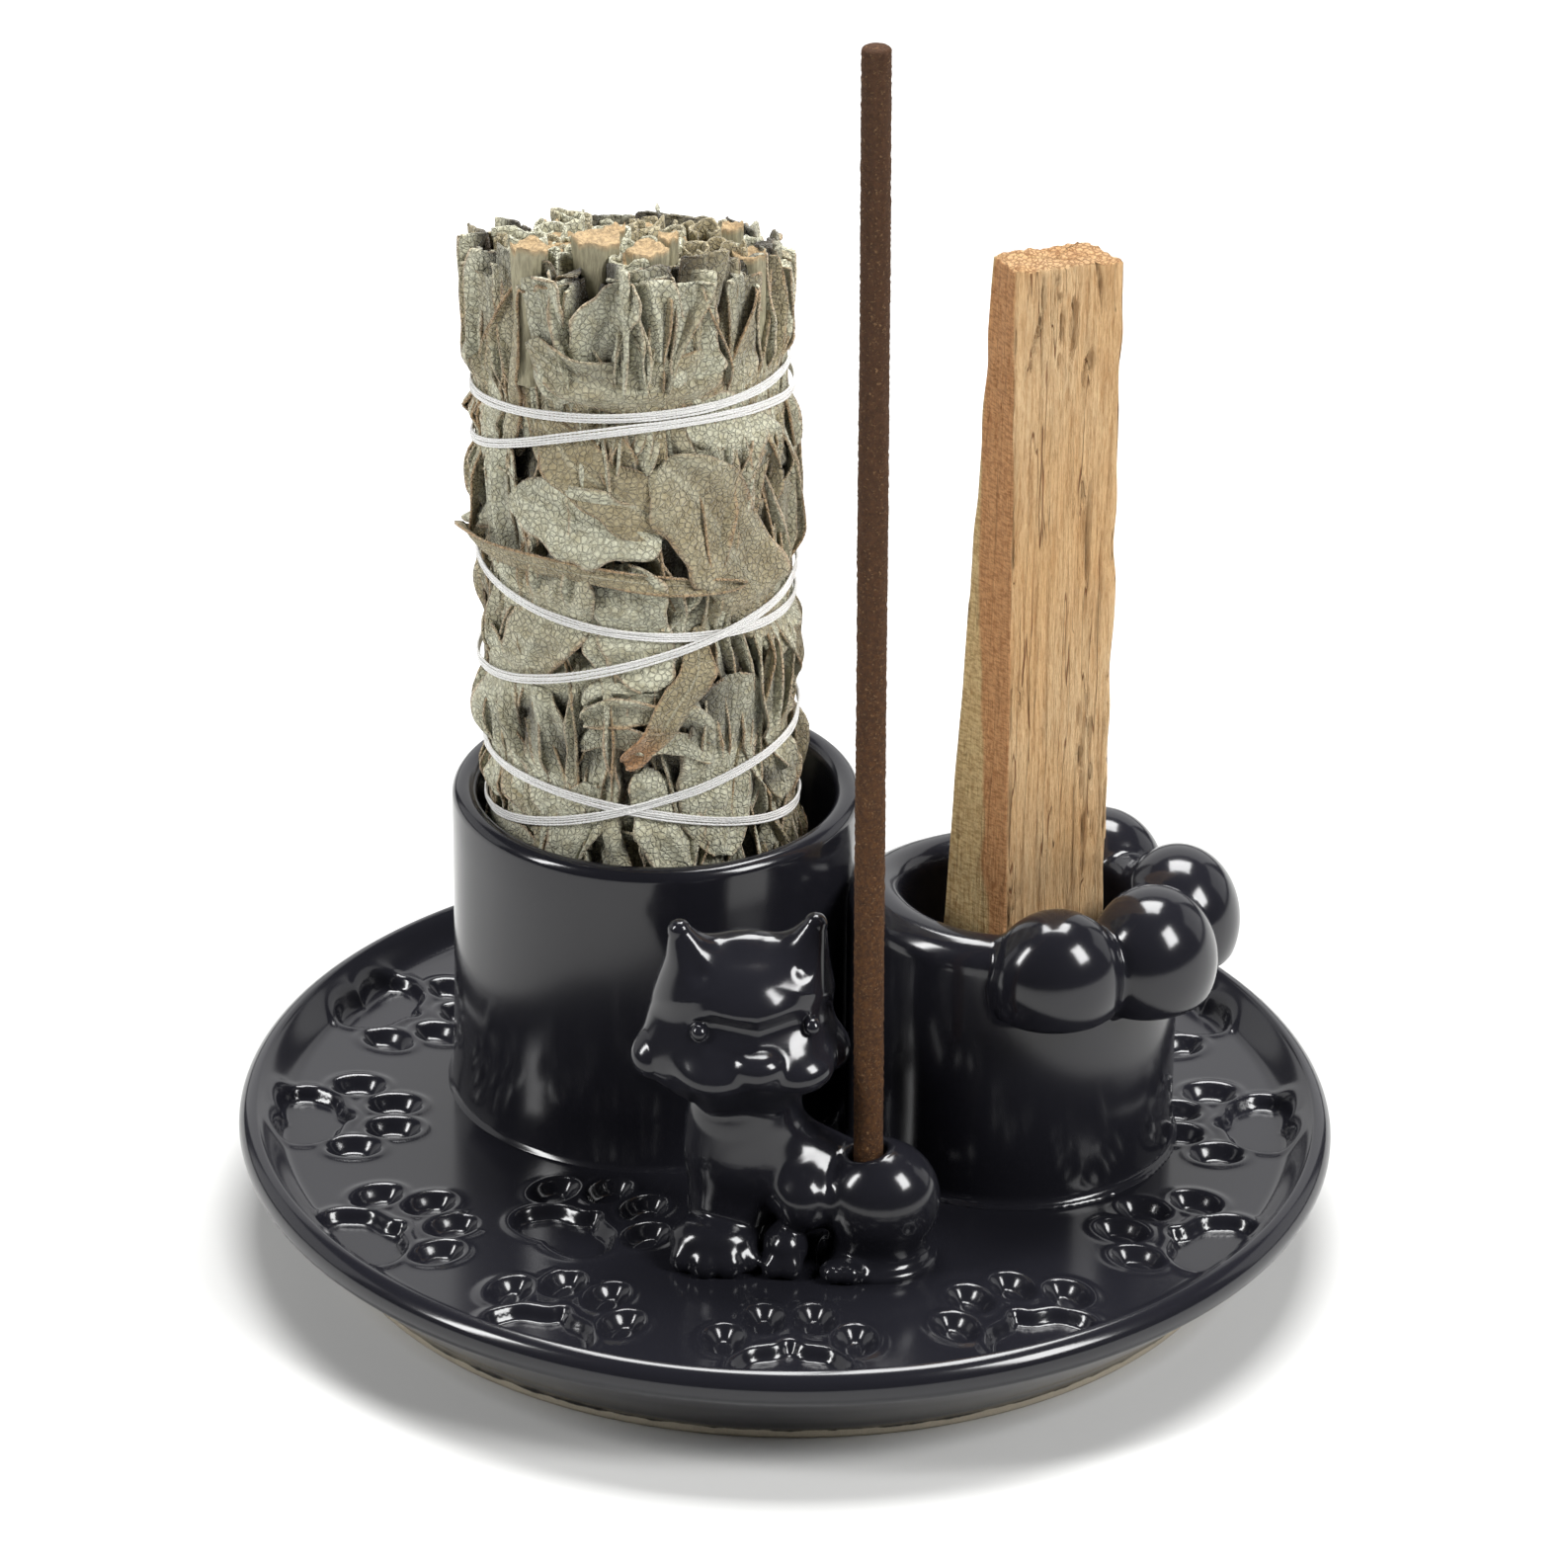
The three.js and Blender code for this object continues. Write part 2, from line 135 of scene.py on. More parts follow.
class Stock:
    """Gathers patches of points and faces, with named values for each point, into one mesh."""

    def __init__(self):
        self.points, self.faces, self.values, self.count = [], [], [], 0

    def add(self, points, faces, **values):
        points = np.asarray(points, float).reshape(-1, 3)
        self.points.append(points)
        if isinstance(faces, np.ndarray):
            self.faces.extend((faces + self.count).tolist())
        else:
            self.faces.extend([i + self.count for i in face] for face in faces)
        self.values.append({k: np.broadcast_to(np.ravel(v), len(points)) for k, v in values.items()})
        self.count += len(points)

    def make(self, name, finish):
        mesh = bpy.data.meshes.new(name)
        mesh.from_pydata((np.concatenate(self.points) * MM).tolist(), [], self.faces)
        for key in self.values[0]:  # every patch holds the same names
            layer = mesh.attributes.new(key, "FLOAT", "POINT")
            joined = np.concatenate([v[key] for v in self.values])
            layer.data.foreach_set("value", joined.astype(np.float32))
        mesh.shade_smooth()
        mesh.materials.append(finish)
        piece = bpy.data.objects.new(name, mesh)
        bpy.context.scene.collection.objects.link(piece)
        return piece


def one_piece(name, finish, points, faces, **values):
    """A piece made of a single patch."""
    stock = Stock()
    stock.add(points, faces, **values)
    return stock.make(name, finish)


def settle(piece, body, slot, *nodes):
    """Joins a finished piece to the frame."""
    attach(piece, body)
    if nodes:
        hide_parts(*nodes)
    return piece


def turn_profile(profile, segments, x=0.0, y=0.0, wobble=0.0, seed=0):
    """Points and faces of a closed profile of (radius, height) turned about an upright axis."""
    profile = np.asarray(profile, float)
    angle = np.arange(segments) * TAU / segments
    radius, height = profile[:, :1], profile[:, 1:]
    radius = radius + wobble * noise(2.2 * np.cos(angle), 2.2 * np.sin(angle), height / 17, seed)
    points = np.stack(
        [x + radius * np.cos(angle), y + radius * np.sin(angle), height + 0 * radius], -1
    )
    return points, quads(len(profile), segments, wrap_rows=True, wrap_columns=True)


def bend(cx, cz, r, start, stop, steps):
    """Profile points on an arc, in degrees."""
    a = np.radians(np.linspace(start, stop, steps))
    return np.stack([cx + r * np.cos(a), cz + r * np.sin(a)], -1)


def skin(field, low, high, step):
    """Points and faces of the surface where a field of signed distances is zero."""
    low = np.asarray(low, float)
    axes = [np.arange(a, b + step, step) for a, b in zip(low, high)]
    value = field(np.stack(np.meshgrid(*axes, indexing="ij"), -1))
    inside = value < 0
    corners = [np.array(c) for c in np.ndindex(2, 2, 2)]
    shape = np.array(inside.shape) - 1
    full = sum(inside[tuple(slice(a, a + n) for a, n in zip(c, shape))].astype(np.int8) for c in corners)
    cell = np.argwhere((full > 0) & (full < 8))
    number = np.full(full.shape, -1)
    number[tuple(cell.T)] = np.arange(len(cell))
    total, hits = np.zeros((len(cell), 3)), np.zeros(len(cell))
    for a in corners:
        for axis in range(3):
            if a[axis]:
                continue
            b = a + np.eye(3, dtype=int)[axis]
            va, vb = value[tuple((cell + a).T)], value[tuple((cell + b).T)]
            crossed = (va < 0) != (vb < 0)
            share = np.where(crossed, va / np.where(crossed, va - vb, 1), 0)
            total += crossed[:, None] * (cell + a + share[:, None] * (b - a))
            hits += crossed
    points = low + step * total / hits[:, None]
    faces = []
    for axis in range(3):
        u, v = (axis + 1) % 3, (axis + 2) % 3
        low_end = [slice(None)] * 3
        high_end = [slice(None)] * 3
        low_end[axis], high_end[axis] = slice(0, -1), slice(1, None)
        edge = np.argwhere(inside[tuple(low_end)] != inside[tuple(high_end)])
        ring = []
        for du, dv in ((-1, -1), (0, -1), (0, 0), (-1, 0)):
            offset = np.zeros(3, int)
            offset[u], offset[v] = du, dv
            ring.append(number[tuple((edge + offset).T)])
        quad = np.stack(ring, -1)
        backwards = ~inside[tuple(edge.T)]
        quad[backwards] = quad[backwards][:, ::-1]
        faces.append(quad)
    for _ in range(3):
        points = to_surface(field, points)
    return points, np.concatenate(faces)


def to_surface(field, points, reach=0.03):
    """Moves points along the field's slope onto its zero surface."""
    slope = np.stack(
        [
            (field(points + reach * axis) - field(points - reach * axis)) / (2 * reach)
            for axis in np.eye(3)
        ],
        -1,
    )
    steep = np.maximum((slope**2).sum(-1), 0.05)
    return points - (np.clip(field(points), -0.4, 0.4) / steep)[:, None] * slope


# ---------------------------------------------------------------- clay forms as signed distances
def merge(a, b, soft):
    """The union of two forms with a fillet."""
    h = np.maximum(soft - np.abs(a - b), 0) / soft
    return np.minimum(a, b) - h * h * soft / 4


def carve(a, b, soft):
    """Form a without form b, with a rounded edge."""
    return -merge(-a, b, soft)


def egg(p, centre, radii):
    """An upright ellipsoid."""
    q = p - np.asarray(centre, float)
    near = np.linalg.norm(q / radii, axis=-1)
    far = np.linalg.norm(q / np.square(radii), axis=-1)
    return near * (near - 1) / np.maximum(far, 1e-6)


def finger(p, start, end, r_start, r_end):
    """A round bar between two points whose radius changes evenly."""
    start, end = np.asarray(start, float), np.asarray(end, float)
    along = end - start
    t = np.clip(((p - start) @ along) / (along @ along), 0, 1)
    return np.linalg.norm(p - start - t[..., None] * along, axis=-1) - (r_start + (r_end - r_start) * t)


def drum(p, x, y, r, low, high, edge):
    """An upright cylinder with rounded edges."""
    side = np.hypot(p[..., 0] - x, p[..., 1] - y) - r + edge
    end = np.abs(p[..., 2] - (low + high) / 2) - (high - low) / 2 + edge
    outside = np.hypot(np.maximum(side, 0), np.maximum(end, 0))
    return outside + np.minimum(np.maximum(side, end), 0) - edge


# ---------------------------------------------------------------- shader expressions
class Flow:
    """A node's output socket that takes part in Python arithmetic."""

    def __init__(self, finish, socket):
        self.finish, self.socket = finish, socket

    def _math(self, operation, first, second=0.0, **settings):
        settings["operation"] = operation
        return self.finish.node("ShaderNodeMath", settings, {0: first, 1: second})

    def __add__(self, other):
        return self._math("ADD", self, other)

    def __radd__(self, other):
        return self._math("ADD", other, self)

    def __sub__(self, other):
        return self._math("SUBTRACT", self, other)

    def __rsub__(self, other):
        return self._math("SUBTRACT", other, self)

    def __mul__(self, other):
        return self._math("MULTIPLY", self, other)

    def __rmul__(self, other):
        return self._math("MULTIPLY", other, self)

    def __abs__(self):
        return self._math("ABSOLUTE", self)

    def kept(self):
        """Held between 0 and 1."""
        return self._math("ADD", self, use_clamp=True)


class Finish:
    """A material on a Principled shader, with a method for each thing its makers need."""

    def __init__(self, name, **constants):
        self.material = bpy.data.materials.new(name)
        self.material.use_nodes = True
        self.tree = self.material.node_tree
        self.tree.nodes.clear()
        self.shader = self.tree.nodes.new("ShaderNodeBsdfPrincipled")
        output = self.tree.nodes.new("ShaderNodeOutputMaterial")
        self.tree.links.new(self.shader.outputs[0], output.inputs[0])
        for socket, value in constants.items():
            self.shader.inputs[socket.replace("_", " ")].default_value = value

    def node(self, kind, settings=None, inputs=None, output=0):
        """A node of any kind: its settings first, then the values or links of its sockets."""
        made = self.tree.nodes.new(kind)
        for key, value in (settings or {}).items():
            setattr(made, key, value)
        for key, value in (inputs or {}).items():
            if isinstance(value, Flow):
                self.tree.links.new(value.socket, made.inputs[key])
            else:
                made.inputs[key].default_value = value
        return Flow(self, made.outputs[output])

    def feed(self, **flows):
        """Joins flows to the shader's sockets and gives the finished material."""
        for socket, flow in flows.items():
            self.tree.links.new(flow.socket, self.shader.inputs[socket.replace("_", " ")])
        return self.material

    def place(self, x=1.0, y=1.0, z=1.0):
        """Position on the piece in millimetres, each axis times its own scale."""
        at = self.node("ShaderNodeTexCoord", output="Object")
        scale = (x / MM, y / MM, z / MM)
        return self.node("ShaderNodeVectorMath", {"operation": "MULTIPLY"}, {0: at, 1: scale})

    def height(self):
        """Height on the piece in millimetres."""
        return self.node("ShaderNodeSeparateXYZ", inputs={0: self.place()}, output=2)

    def grain(self, at, scale, detail=3.0, rough=0.55, warp=0.0):
        """Soft noise between 0 and 1, with scale features to the millimetre."""
        return self.node(
            "ShaderNodeTexNoise",
            inputs={"Vector": at, "Scale": scale, "Detail": detail, "Roughness": rough, "Distortion": warp},
        )

    def cells(self, at, scale, feature="DISTANCE_TO_EDGE"):
        """Distance to the nearest edge, or middle, of a crazed pattern of cells."""
        return self.node("ShaderNodeTexVoronoi", {"feature": feature}, {"Vector": at, "Scale": scale})

    def span(self, value, low, high):
        """0 where the value is below low, 1 above high and smooth between them."""
        settings = {"interpolation_type": "SMOOTHSTEP"}
        return self.node("ShaderNodeMapRange", settings, {0: value, 1: low, 2: high, 3: 0.0, 4: 1.0})

    def mix(self, share, first, second, blend="MIX"):
        """A colour between two others."""
        first, second = (c if isinstance(c, Flow) else (*c, 1.0) for c in (first, second))
        settings = {"data_type": "RGBA", "blend_type": blend}
        return self.node("ShaderNodeMix", settings, {0: share, 6: first, 7: second}, output=2)

    def value(self, name):
        """A number stored on each point of the mesh."""
        return self.node("ShaderNodeAttribute", {"attribute_name": name}, output="Fac")

    def relief(self, height, depth):
        """A bump of a depth in millimetres from a height between 0 and 1."""
        inputs = {"Height": height, "Distance": depth * MM, "Strength": 1.0}
        return self.node("ShaderNodeBump", inputs=inputs)


def black_glaze(colour):
    """Gloss glaze over clay, with the faint ripple and pinholes of a hand dipped piece."""
    f = Finish("black_glaze", IOR=1.44)
    cloud = f.grain(f.place(), 0.09, 2.0)
    pits = f.cells(f.place(), 0.55, "F1")
    pit = 1 - f.span(pits, 0.03, 0.09)
    ripple = f.grain(f.place(), 0.15, 2.0, 0.4)
    deep = tuple(c * 0.55 for c in colour)
    return f.feed(
        Base_Color=f.mix(f.span(cloud, 0.35, 0.7), deep, colour),
        Roughness=0.012 + 0.02 * cloud + 0.2 * pit,
        Normal=f.relief(ripple - 0.04 * pit, 0.22),
    )


def bare_clay(colour, glaze_colour, line):
    """Unglazed clay at the very bottom, glazed above an uneven line."""
    f = Finish("bare_clay", IOR=1.5)
    edge = f.grain(f.place(), 0.3, 3.0)
    glazed = f.span(f.height() + 1.1 * (edge - 0.5), line - 0.15, line + 0.15)
    sand = f.grain(f.place(), 6.0, 4.0, 0.7)
    clay = f.mix(f.span(sand, 0.3, 0.75), tuple(c * 0.72 for c in colour), colour)
    return f.feed(
        Base_Color=f.mix(glazed, clay, glaze_colour),
        Roughness=0.85 - 0.8 * glazed,
        Normal=f.relief(sand * (1 - glazed), 0.12),
    )


def dry_leaf(green, tan, brown):
    """Felted sage leaf: net veins, a pale midrib, tanned patches and brown edges, with painted shade that
    darkens it where it lies deep in the bundle.
    """
    f = Finish("dry_leaf", Roughness=0.88, IOR=1.35, Sheen_Weight=0.25, Sheen_Roughness=0.5)
    tint, across, along = f.value("tint"), f.value("across"), f.value("along")
    patch = f.grain(f.place(), 0.16, 4.0, 0.6)
    fleck = f.grain(f.place(), 2.2, 4.0, 0.7)
    net = f.cells(f.place(), 1.25)
    coarse_net = f.cells(f.place(), 0.45)
    vein = (1 - f.span(net, 0.0, 0.15)) * 0.6 + (1 - f.span(coarse_net, 0.0, 0.05)) * 0.3
    rib = 1 - f.span(abs(across), 0.015, 0.06)
    base = f.mix(f.span(tint + 0.9 * (patch - 0.5), 0.25, 0.9), green, tan)
    shade = f.grain(f.place(), 0.55, 3.0, 0.6)
    base = f.mix(f.span(shade, 0.30, 0.62), f.mix(1.0, base, (0.74, 0.70, 0.62), "MULTIPLY"), base)
    dark = tuple(c * 0.36 for c in tan)
    pale = tuple(min(1.0, c * 1.28) for c in green)
    shaded = f.mix(f.span(fleck, 0.42, 0.80) * 0.26, base, dark)
    veined = f.mix((vein * 0.46).kept(), shaded, dark)
    ribbed = f.mix(rib * 0.22, veined, pale)
    rim = f.span(abs(across) + 0.22 * (patch - 0.5), 0.43, 0.53)
    scorched = f.span(tint + 0.5 * along, 1.28, 1.42)
    edged = f.mix((rim * 0.55 + scorched).kept(), ribbed, brown)
    # painted shade: share of near black that stands in for the shade deep between the leaves
    darkened_by_shade = f.value("buried")
    return f.feed(
        Base_Color=f.mix(darkened_by_shade, edged, (0.030, 0.022, 0.014)),
        Normal=f.relief(0.6 * fleck + 0.5 * rib - 1.1 * vein + 1.2 * shade, 0.36),
    )


def cut_stem(bark, cut):
    """A dry stem: ribbed bark and an orange cut end."""
    f = Finish("cut_stem", Roughness=0.86, IOR=1.4)
    fibre = f.grain(f.place(z=0.16), 2.6, 4.0, 0.65)
    end = f.value("cut")
    rough = f.grain(f.place(), 1.6, 4.0, 0.7)
    skin_colour = f.mix(f.span(fibre, 0.3, 0.7), tuple(c * 0.6 for c in bark), bark)
    end_colour = f.mix(f.span(rough, 0.35, 0.65), tuple(c * 0.55 for c in cut), cut)
    return f.feed(
        Base_Color=f.mix(end, skin_colour, end_colour), Normal=f.relief(fibre + rough * end, 0.25)
    )


def cotton(colour):
    """Soft white thread."""
    f = Finish("cotton", Roughness=0.8, IOR=1.4, Sheen_Weight=0.3, Sheen_Roughness=0.4)
    fuzz = f.grain(f.place(), 5.0, 3.0, 0.7)
    return f.feed(
        Base_Color=f.mix(f.span(fuzz, 0.25, 0.7), tuple(c * 0.72 for c in colour), colour),
        Normal=f.relief(fuzz, 0.06),
    )


def palo_santo(heart, side, sap):
    """Split aromatic wood: fibrous heartwood, an oiled side face and a pale strip of sapwood."""
    f = Finish("palo_santo", Roughness=0.74, IOR=1.42)
    long_grain = f.grain(f.place(z=0.035), 2.6, 5.0, 0.68, 0.3)
    fine_grain = f.grain(f.place(z=0.07), 7.5, 3.0, 0.75)
    cloud = f.grain(f.place(z=0.3), 0.12, 2.0)
    saw = f.grain(f.place(x=0.5, y=0.5, z=1.6), 1.7, 4.0, 0.65)
    crack, sapwood, sawn, end = (f.value(n) for n in ("crack", "sapwood", "sawn", "end"))
    warm = f.mix(f.span(cloud, 0.3, 0.7), heart, tuple(c * k for c, k in zip(heart, (0.96, 0.87, 0.76))))
    body = f.mix(sawn, warm, side)
    body = f.mix(sapwood, body, sap)
    dark = f.mix(f.span(long_grain, 0.34, 0.56), (0.64, 0.48, 0.35), (1, 1, 1))
    streaked = f.mix(0.6 - 0.3 * sawn, body, dark, "MULTIPLY")
    fine = f.mix(f.span(fine_grain, 0.36, 0.54), (0.66, 0.48, 0.34), (1, 1, 1))
    streaked = f.mix(0.6, streaked, fine, "MULTIPLY")
    sawn_marks = f.mix(f.span(saw, 0.35, 0.6), (0.60, 0.48, 0.38), (1, 1, 1))
    streaked = f.mix(sawn * 0.8, streaked, sawn_marks, "MULTIPLY")
    pores = f.mix(f.span(f.cells(f.place(), 1.3), 0.0, 0.22), (0.40, 0.24, 0.14), (1, 1, 1))
    ended = f.mix(end * 0.8, streaked, pores, "MULTIPLY")
    line = abs(f.grain(f.place(z=0.03), 0.9, 1.5, 0.4, 0.12) - 0.5)
    line_gate = f.span(f.grain(f.place(z=0.05), 0.50, 1.0), 0.46, 0.54)
    fissure = (1 - f.span(line, 0.003, 0.014)) * line_gate * (1 - 0.6 * sawn) * (1 - end)
    split = f.mix(fissure * 0.9, ended, (0.30, 0.120, 0.040))
    return f.feed(
        Base_Color=f.mix(crack * 0.12, split, (0.24, 0.100, 0.040)),
        Normal=f.relief(long_grain + 0.6 * fine_grain + 0.35 * saw * sawn - 0.8 * fissure, 0.75),
    )


def incense_paste(dark, warm, speck):
    """Pressed powder, scorched brown above and warmer below, full of pale grains."""
    f = Finish("incense_paste", Roughness=0.9, IOR=1.4)
    grit = f.grain(f.place(), 1.7, 5.0, 0.8)
    speckled = f.span(f.grain(f.place(), 2.8, 3.0, 0.6), 0.57, 0.68)
    base = f.mix(f.span(f.height() + 26 * (grit - 0.5), 50.0, 150.0), warm, dark)
    mottled = f.mix(f.span(grit, 0.40, 0.68) * 0.8, tuple(c * 0.55 for c in dark), base)
    return f.feed(
        Base_Color=f.mix(speckled * 0.40, mottled, speck),
        Normal=f.relief(grit + 0.7 * speckled, 0.45),
    )


def floor_paper(colour):
    """Matt white studio paper."""
    f = Finish("floor_paper", Roughness=0.9, IOR=1.3)
    tooth = f.grain(f.place(), 0.9, 2.0)
    return f.feed(Base_Color=f.mix(tooth, tuple(c * 0.985 for c in colour), colour))


# ---------------------------------------------------------------- sizes and colours a user may change
def length(name, description, default_mm):
    """A length that is given in millimetres and kept in metres."""
    return FloatProperty(
        name=name, description=description, default=default_mm * MM, unit="LENGTH", precision=4
    )


def turn(name, description, degrees):
    """An angle that is given in degrees and kept in radians."""
    default = math.radians(degrees)
    return FloatProperty(name=name, description=description, default=default, subtype="ANGLE")


def count(name, description, default):
    """A number of things, at least one."""
    return IntProperty(name=name, description=description, default=default, min=1)


def colour(name, description, default):
    """A colour in linear light."""
    return FloatVectorProperty(
        name=name, description=description, default=default, subtype="COLOR", size=3, min=0, max=1
    )


class GlazeSettings(bpy.types.PropertyGroup):
    black: colour("Glaze", "Colour of the gloss glaze", (0.0026, 0.0025, 0.0010))
    clay: colour("Bare clay", "Colour of the unglazed foot", (0.60, 0.53, 0.41))
    line: length("Glaze line", "Height of the glaze's lower edge above the table", 1.5)


class DishSettings(bpy.types.PropertyGroup):
    prints: count("Prints", "Paw prints round the dish", 12)
    first: turn("First print", "Direction of the first print", -89)
    depth: length("Print depth", "Depth of a print's flat floor", 1.6)
    wall: length("Print slope", "Width of the soft slope round a print", 1.3)


class CupSettings(bpy.types.PropertyGroup):
    fillet: length("Glaze fillet", "Glaze that has run into the corner at a cup's foot", 0.9)
    tilt: length("Paw rim drop", "How much lower the paw cup's rim is at the back", 3.0)
    blend: length("Toe blend", "Fillet between a toe and the cup", 0.8)


class CatSettings(bpy.types.PropertyGroup):
    turn: turn("Head turn", "How far the head looks to its left", 8)
    eye: length("Eye", "Radius of an eye bead", 1.1)
    fine: length("Surface step", "Size of the faces on the modelled forms", 0.34)


class BundleSettings(bpy.types.PropertyGroup):
    wide_leaves: count("Wide leaves", "Leaves pressed flat round the bundle", 84)
    folded_leaves: count("Folded leaves", "Leaves seen edge on", 330)
    crown_leaves: count("Crown leaves", "Rolled leaf ends on the top", 96)
    leaf_thick: length("Leaf thickness", "Thickness of a dried leaf", 0.34)
    green: colour("Leaf green", "Felted upper side of a leaf", (0.720, 0.715, 0.550))
    tan: colour("Leaf tan", "Older leaves", (0.470, 0.405, 0.255))
    brown: colour("Leaf brown", "Scorched and broken edges", (0.520, 0.300, 0.150))
    bark: colour("Stem bark", "Dry stems", (0.42, 0.385, 0.26))
    cut: colour("Stem end", "Cut ends of the stems", (0.50, 0.36, 0.20))


class ThreadSettings(bpy.types.PropertyGroup):
    strand: length("Strand", "Diameter of one strand of cotton", 0.33)
    strands: count("Strands", "Turns of thread side by side in one band", 4)
    lay: length("Twist", "Length of one twist of the thread", 1.3)
    white: colour("Cotton", "Colour of the thread", (0.900, 0.895, 0.875))


class WoodSettings(bpy.types.PropertyGroup):
    relief: length("Split relief", "Depth of the fibres on the split face", 0.32)
    heart: colour("Heartwood", "Split front face", (0.960, 0.690, 0.390))
    side: colour("Side face", "Oiled side face", (0.860, 0.470, 0.215))
    sap: colour("Sapwood", "Pale strip along the left edge", (0.960, 0.740, 0.380))


class IncenseSettings(bpy.types.PropertyGroup):
    grit: length("Grit", "Height of the grains on the stick", 0.085)
    dark: colour("Dark paste", "Upper part of the stick", (0.110, 0.048, 0.020))
    warm: colour("Warm paste", "Lower part of the stick", (0.180, 0.075, 0.022))
    speck: colour("Specks", "Pale grains", (0.62, 0.36, 0.17))


class StageSettings(bpy.types.PropertyGroup):
    distance: length("Camera distance", "From the camera to the dish's axis, along the table", 936.0)
    rise: length("Camera height", "Camera above the table", 535.5)
    side: length("Camera side", "Camera to the right of the dish's axis", -0.94)
    dip: turn("Camera dip", "Camera below level", 26.71)
    roll: turn("Camera roll", "Camera turned about its view", 0.953)
    lens: FloatProperty(name="Lens", description="Focal length", default=178.7, unit="CAMERA")
    paper: colour("Paper", "Colour of the floor", (0.650, 0.650, 0.640))


SETTINGS = {
    "burner_glaze": GlazeSettings,
    "burner_dish": DishSettings,
    "burner_cups": CupSettings,
    "burner_cat": CatSettings,
    "burner_bundle": BundleSettings,
    "burner_thread": ThreadSettings,
    "burner_wood": WoodSettings,
    "burner_incense": IncenseSettings,
    "burner_stage": StageSettings,
}


def glaze_finish(context):
    """The one black glaze that all the ceramic shares."""
    made = bpy.data.materials.get("black_glaze")
    return made or black_glaze(tuple(context.scene.burner_glaze.black))


# ---------------------------------------------------------------- dish
DISH_HIGH = box_mm("dish")[1]
DISH_R = DISH_HIGH[0]
FLOOR_Z = box_mm("sage_cup")[0][2] - GLAZE_LINE  # the dish's floor
LIP_R = 2.6
LIP_X, LIP_Z = DISH_R - LIP_R, DISH_HIGH[2] - LIP_R
SLOPE_R = DISH_R - 6.6  # where the floor begins to rise to the lip
PAD_TIP = DISH_R - 15.8  # distance from the axis to the inner tip of a print's pad
INNER_PRINT = {"shift": 22.6, "angle": math.radians(-133)}


def pad_distance(a, b):
    """Distance to a print's pad in its plan: a runs outwards from the pad's tip, b sideways."""
    p = np.stack([a, np.abs(b), 0 * a], -1)
    lobe = finger(p, (5.6, 3.3, 0), (6.9, 4.0, 0), 3.6, 3.7)
    point = finger(p, (1.3, 0, 0), (6.2, 1.6, 0), 1.1, 4.0)
    return merge(lobe, point, 1.6)


def toe_distance(a, b):
    """Distance to a print's nearest toe."""
    side = egg(np.stack([a, np.abs(b), 0 * a], -1), (-0.2, 8.6, 0), (3.5, 2.5, 3.0))
    middle = egg(np.stack([a, np.abs(b), 0 * a], -1), (-5.4, 3.3, 0), (3.5, 2.5, 3.0))
    return np.minimum(side, middle)


def print_depth(x, y, settings):
    """How deep the paw prints are at points of the dish."""
    depth, wall = settings.depth / MM, settings.wall / MM
    total = np.zeros_like(x)
    places = [(PAD_TIP, settings.first + TAU * k / settings.prints) for k in range(settings.prints)]
    places.append((PAD_TIP - INNER_PRINT["shift"], INNER_PRINT["angle"]))
    for tip, angle in places:
        a = x * math.cos(angle) + y * math.sin(angle) - tip
        b = y * math.cos(angle) - x * math.sin(angle)
        near = (a > -13) & (a < 14) & (np.abs(b) < 13)
        pad, toe = pad_distance(a[near], b[near]), toe_distance(a[near], b[near])
        in_pad, in_toe = ease(-pad, -0.3 * wall, 0.7 * wall), ease(-toe, -0.45 * wall, 1.3 * wall)
        pressed = depth * np.maximum(in_pad, in_toe)
        rim = 0.22 * np.exp(-((np.minimum(pad, toe) - 0.9) ** 2) / 0.45)
        total[near] = np.maximum(total[near], pressed) - rim * (pressed < 0.3 * depth)
    return total


def dish_surface(settings):
    """Points and faces of the dish: printed floor, rolled lip and the under side inside the foot."""
    middle, printed = np.linspace(1, 26, 10), np.arange(26.5, SLOPE_R, 0.38)
    radii = np.concatenate([middle, printed, np.linspace(SLOPE_R, LIP_X, 16)])
    segments = 1080
    angle = np.arange(segments) * TAU / segments
    r, angle = np.meshgrid(radii, angle, indexing="ij")
    x, y = r * np.cos(angle), r * np.sin(angle)
    rise = ease(r, SLOPE_R - 0.6, LIP_X + 0.9) * (LIP_Z + LIP_R - FLOOR_Z) * 1.03
    z = FLOOR_Z + np.minimum(rise, LIP_Z + LIP_R - FLOOR_Z) + 0.07 * noise(x / 21, y / 21, 0.0, 4)
    z = z - print_depth(x, y, settings) * (1 - ease(r, SLOPE_R + 1.6, SLOPE_R + 4.4))
    top = np.stack([x, y, z], -1)
    outer = np.concatenate(
        [
            bend(LIP_X, LIP_Z, LIP_R, 86, -48, 20),
            [
                (DISH_R - 3.2, 9.9), (DISH_R - 4.6, 8.6), (DISH_R - 6.4, 6.9), (DISH_R - 8.6, 4.9),
                (DISH_R - 10.4, 3.1), (DISH_R - 11.3, 1.9), (DISH_R - 11.9, 1.5), (DISH_R - 12.6, 2.2),
                (DISH_R - 12.8, 6.3), (56.0, 6.3), (0.5, 6.3),
            ],
        ]
    )
    wobble = 0.10 * noise(1.7 * np.cos(angle[0]), 1.7 * np.sin(angle[0]), 0.0, 6)
    under_r = outer[:, :1] + wobble * (outer[:, :1] > 60)
    under = np.stack(
        [under_r * np.cos(angle[0]), under_r * np.sin(angle[0]), outer[:, 1:] + 0 * under_r], -1
    )
    points = np.concatenate([top, under])
    return points, [face[::-1] for face in closed_tube(len(points), segments)]


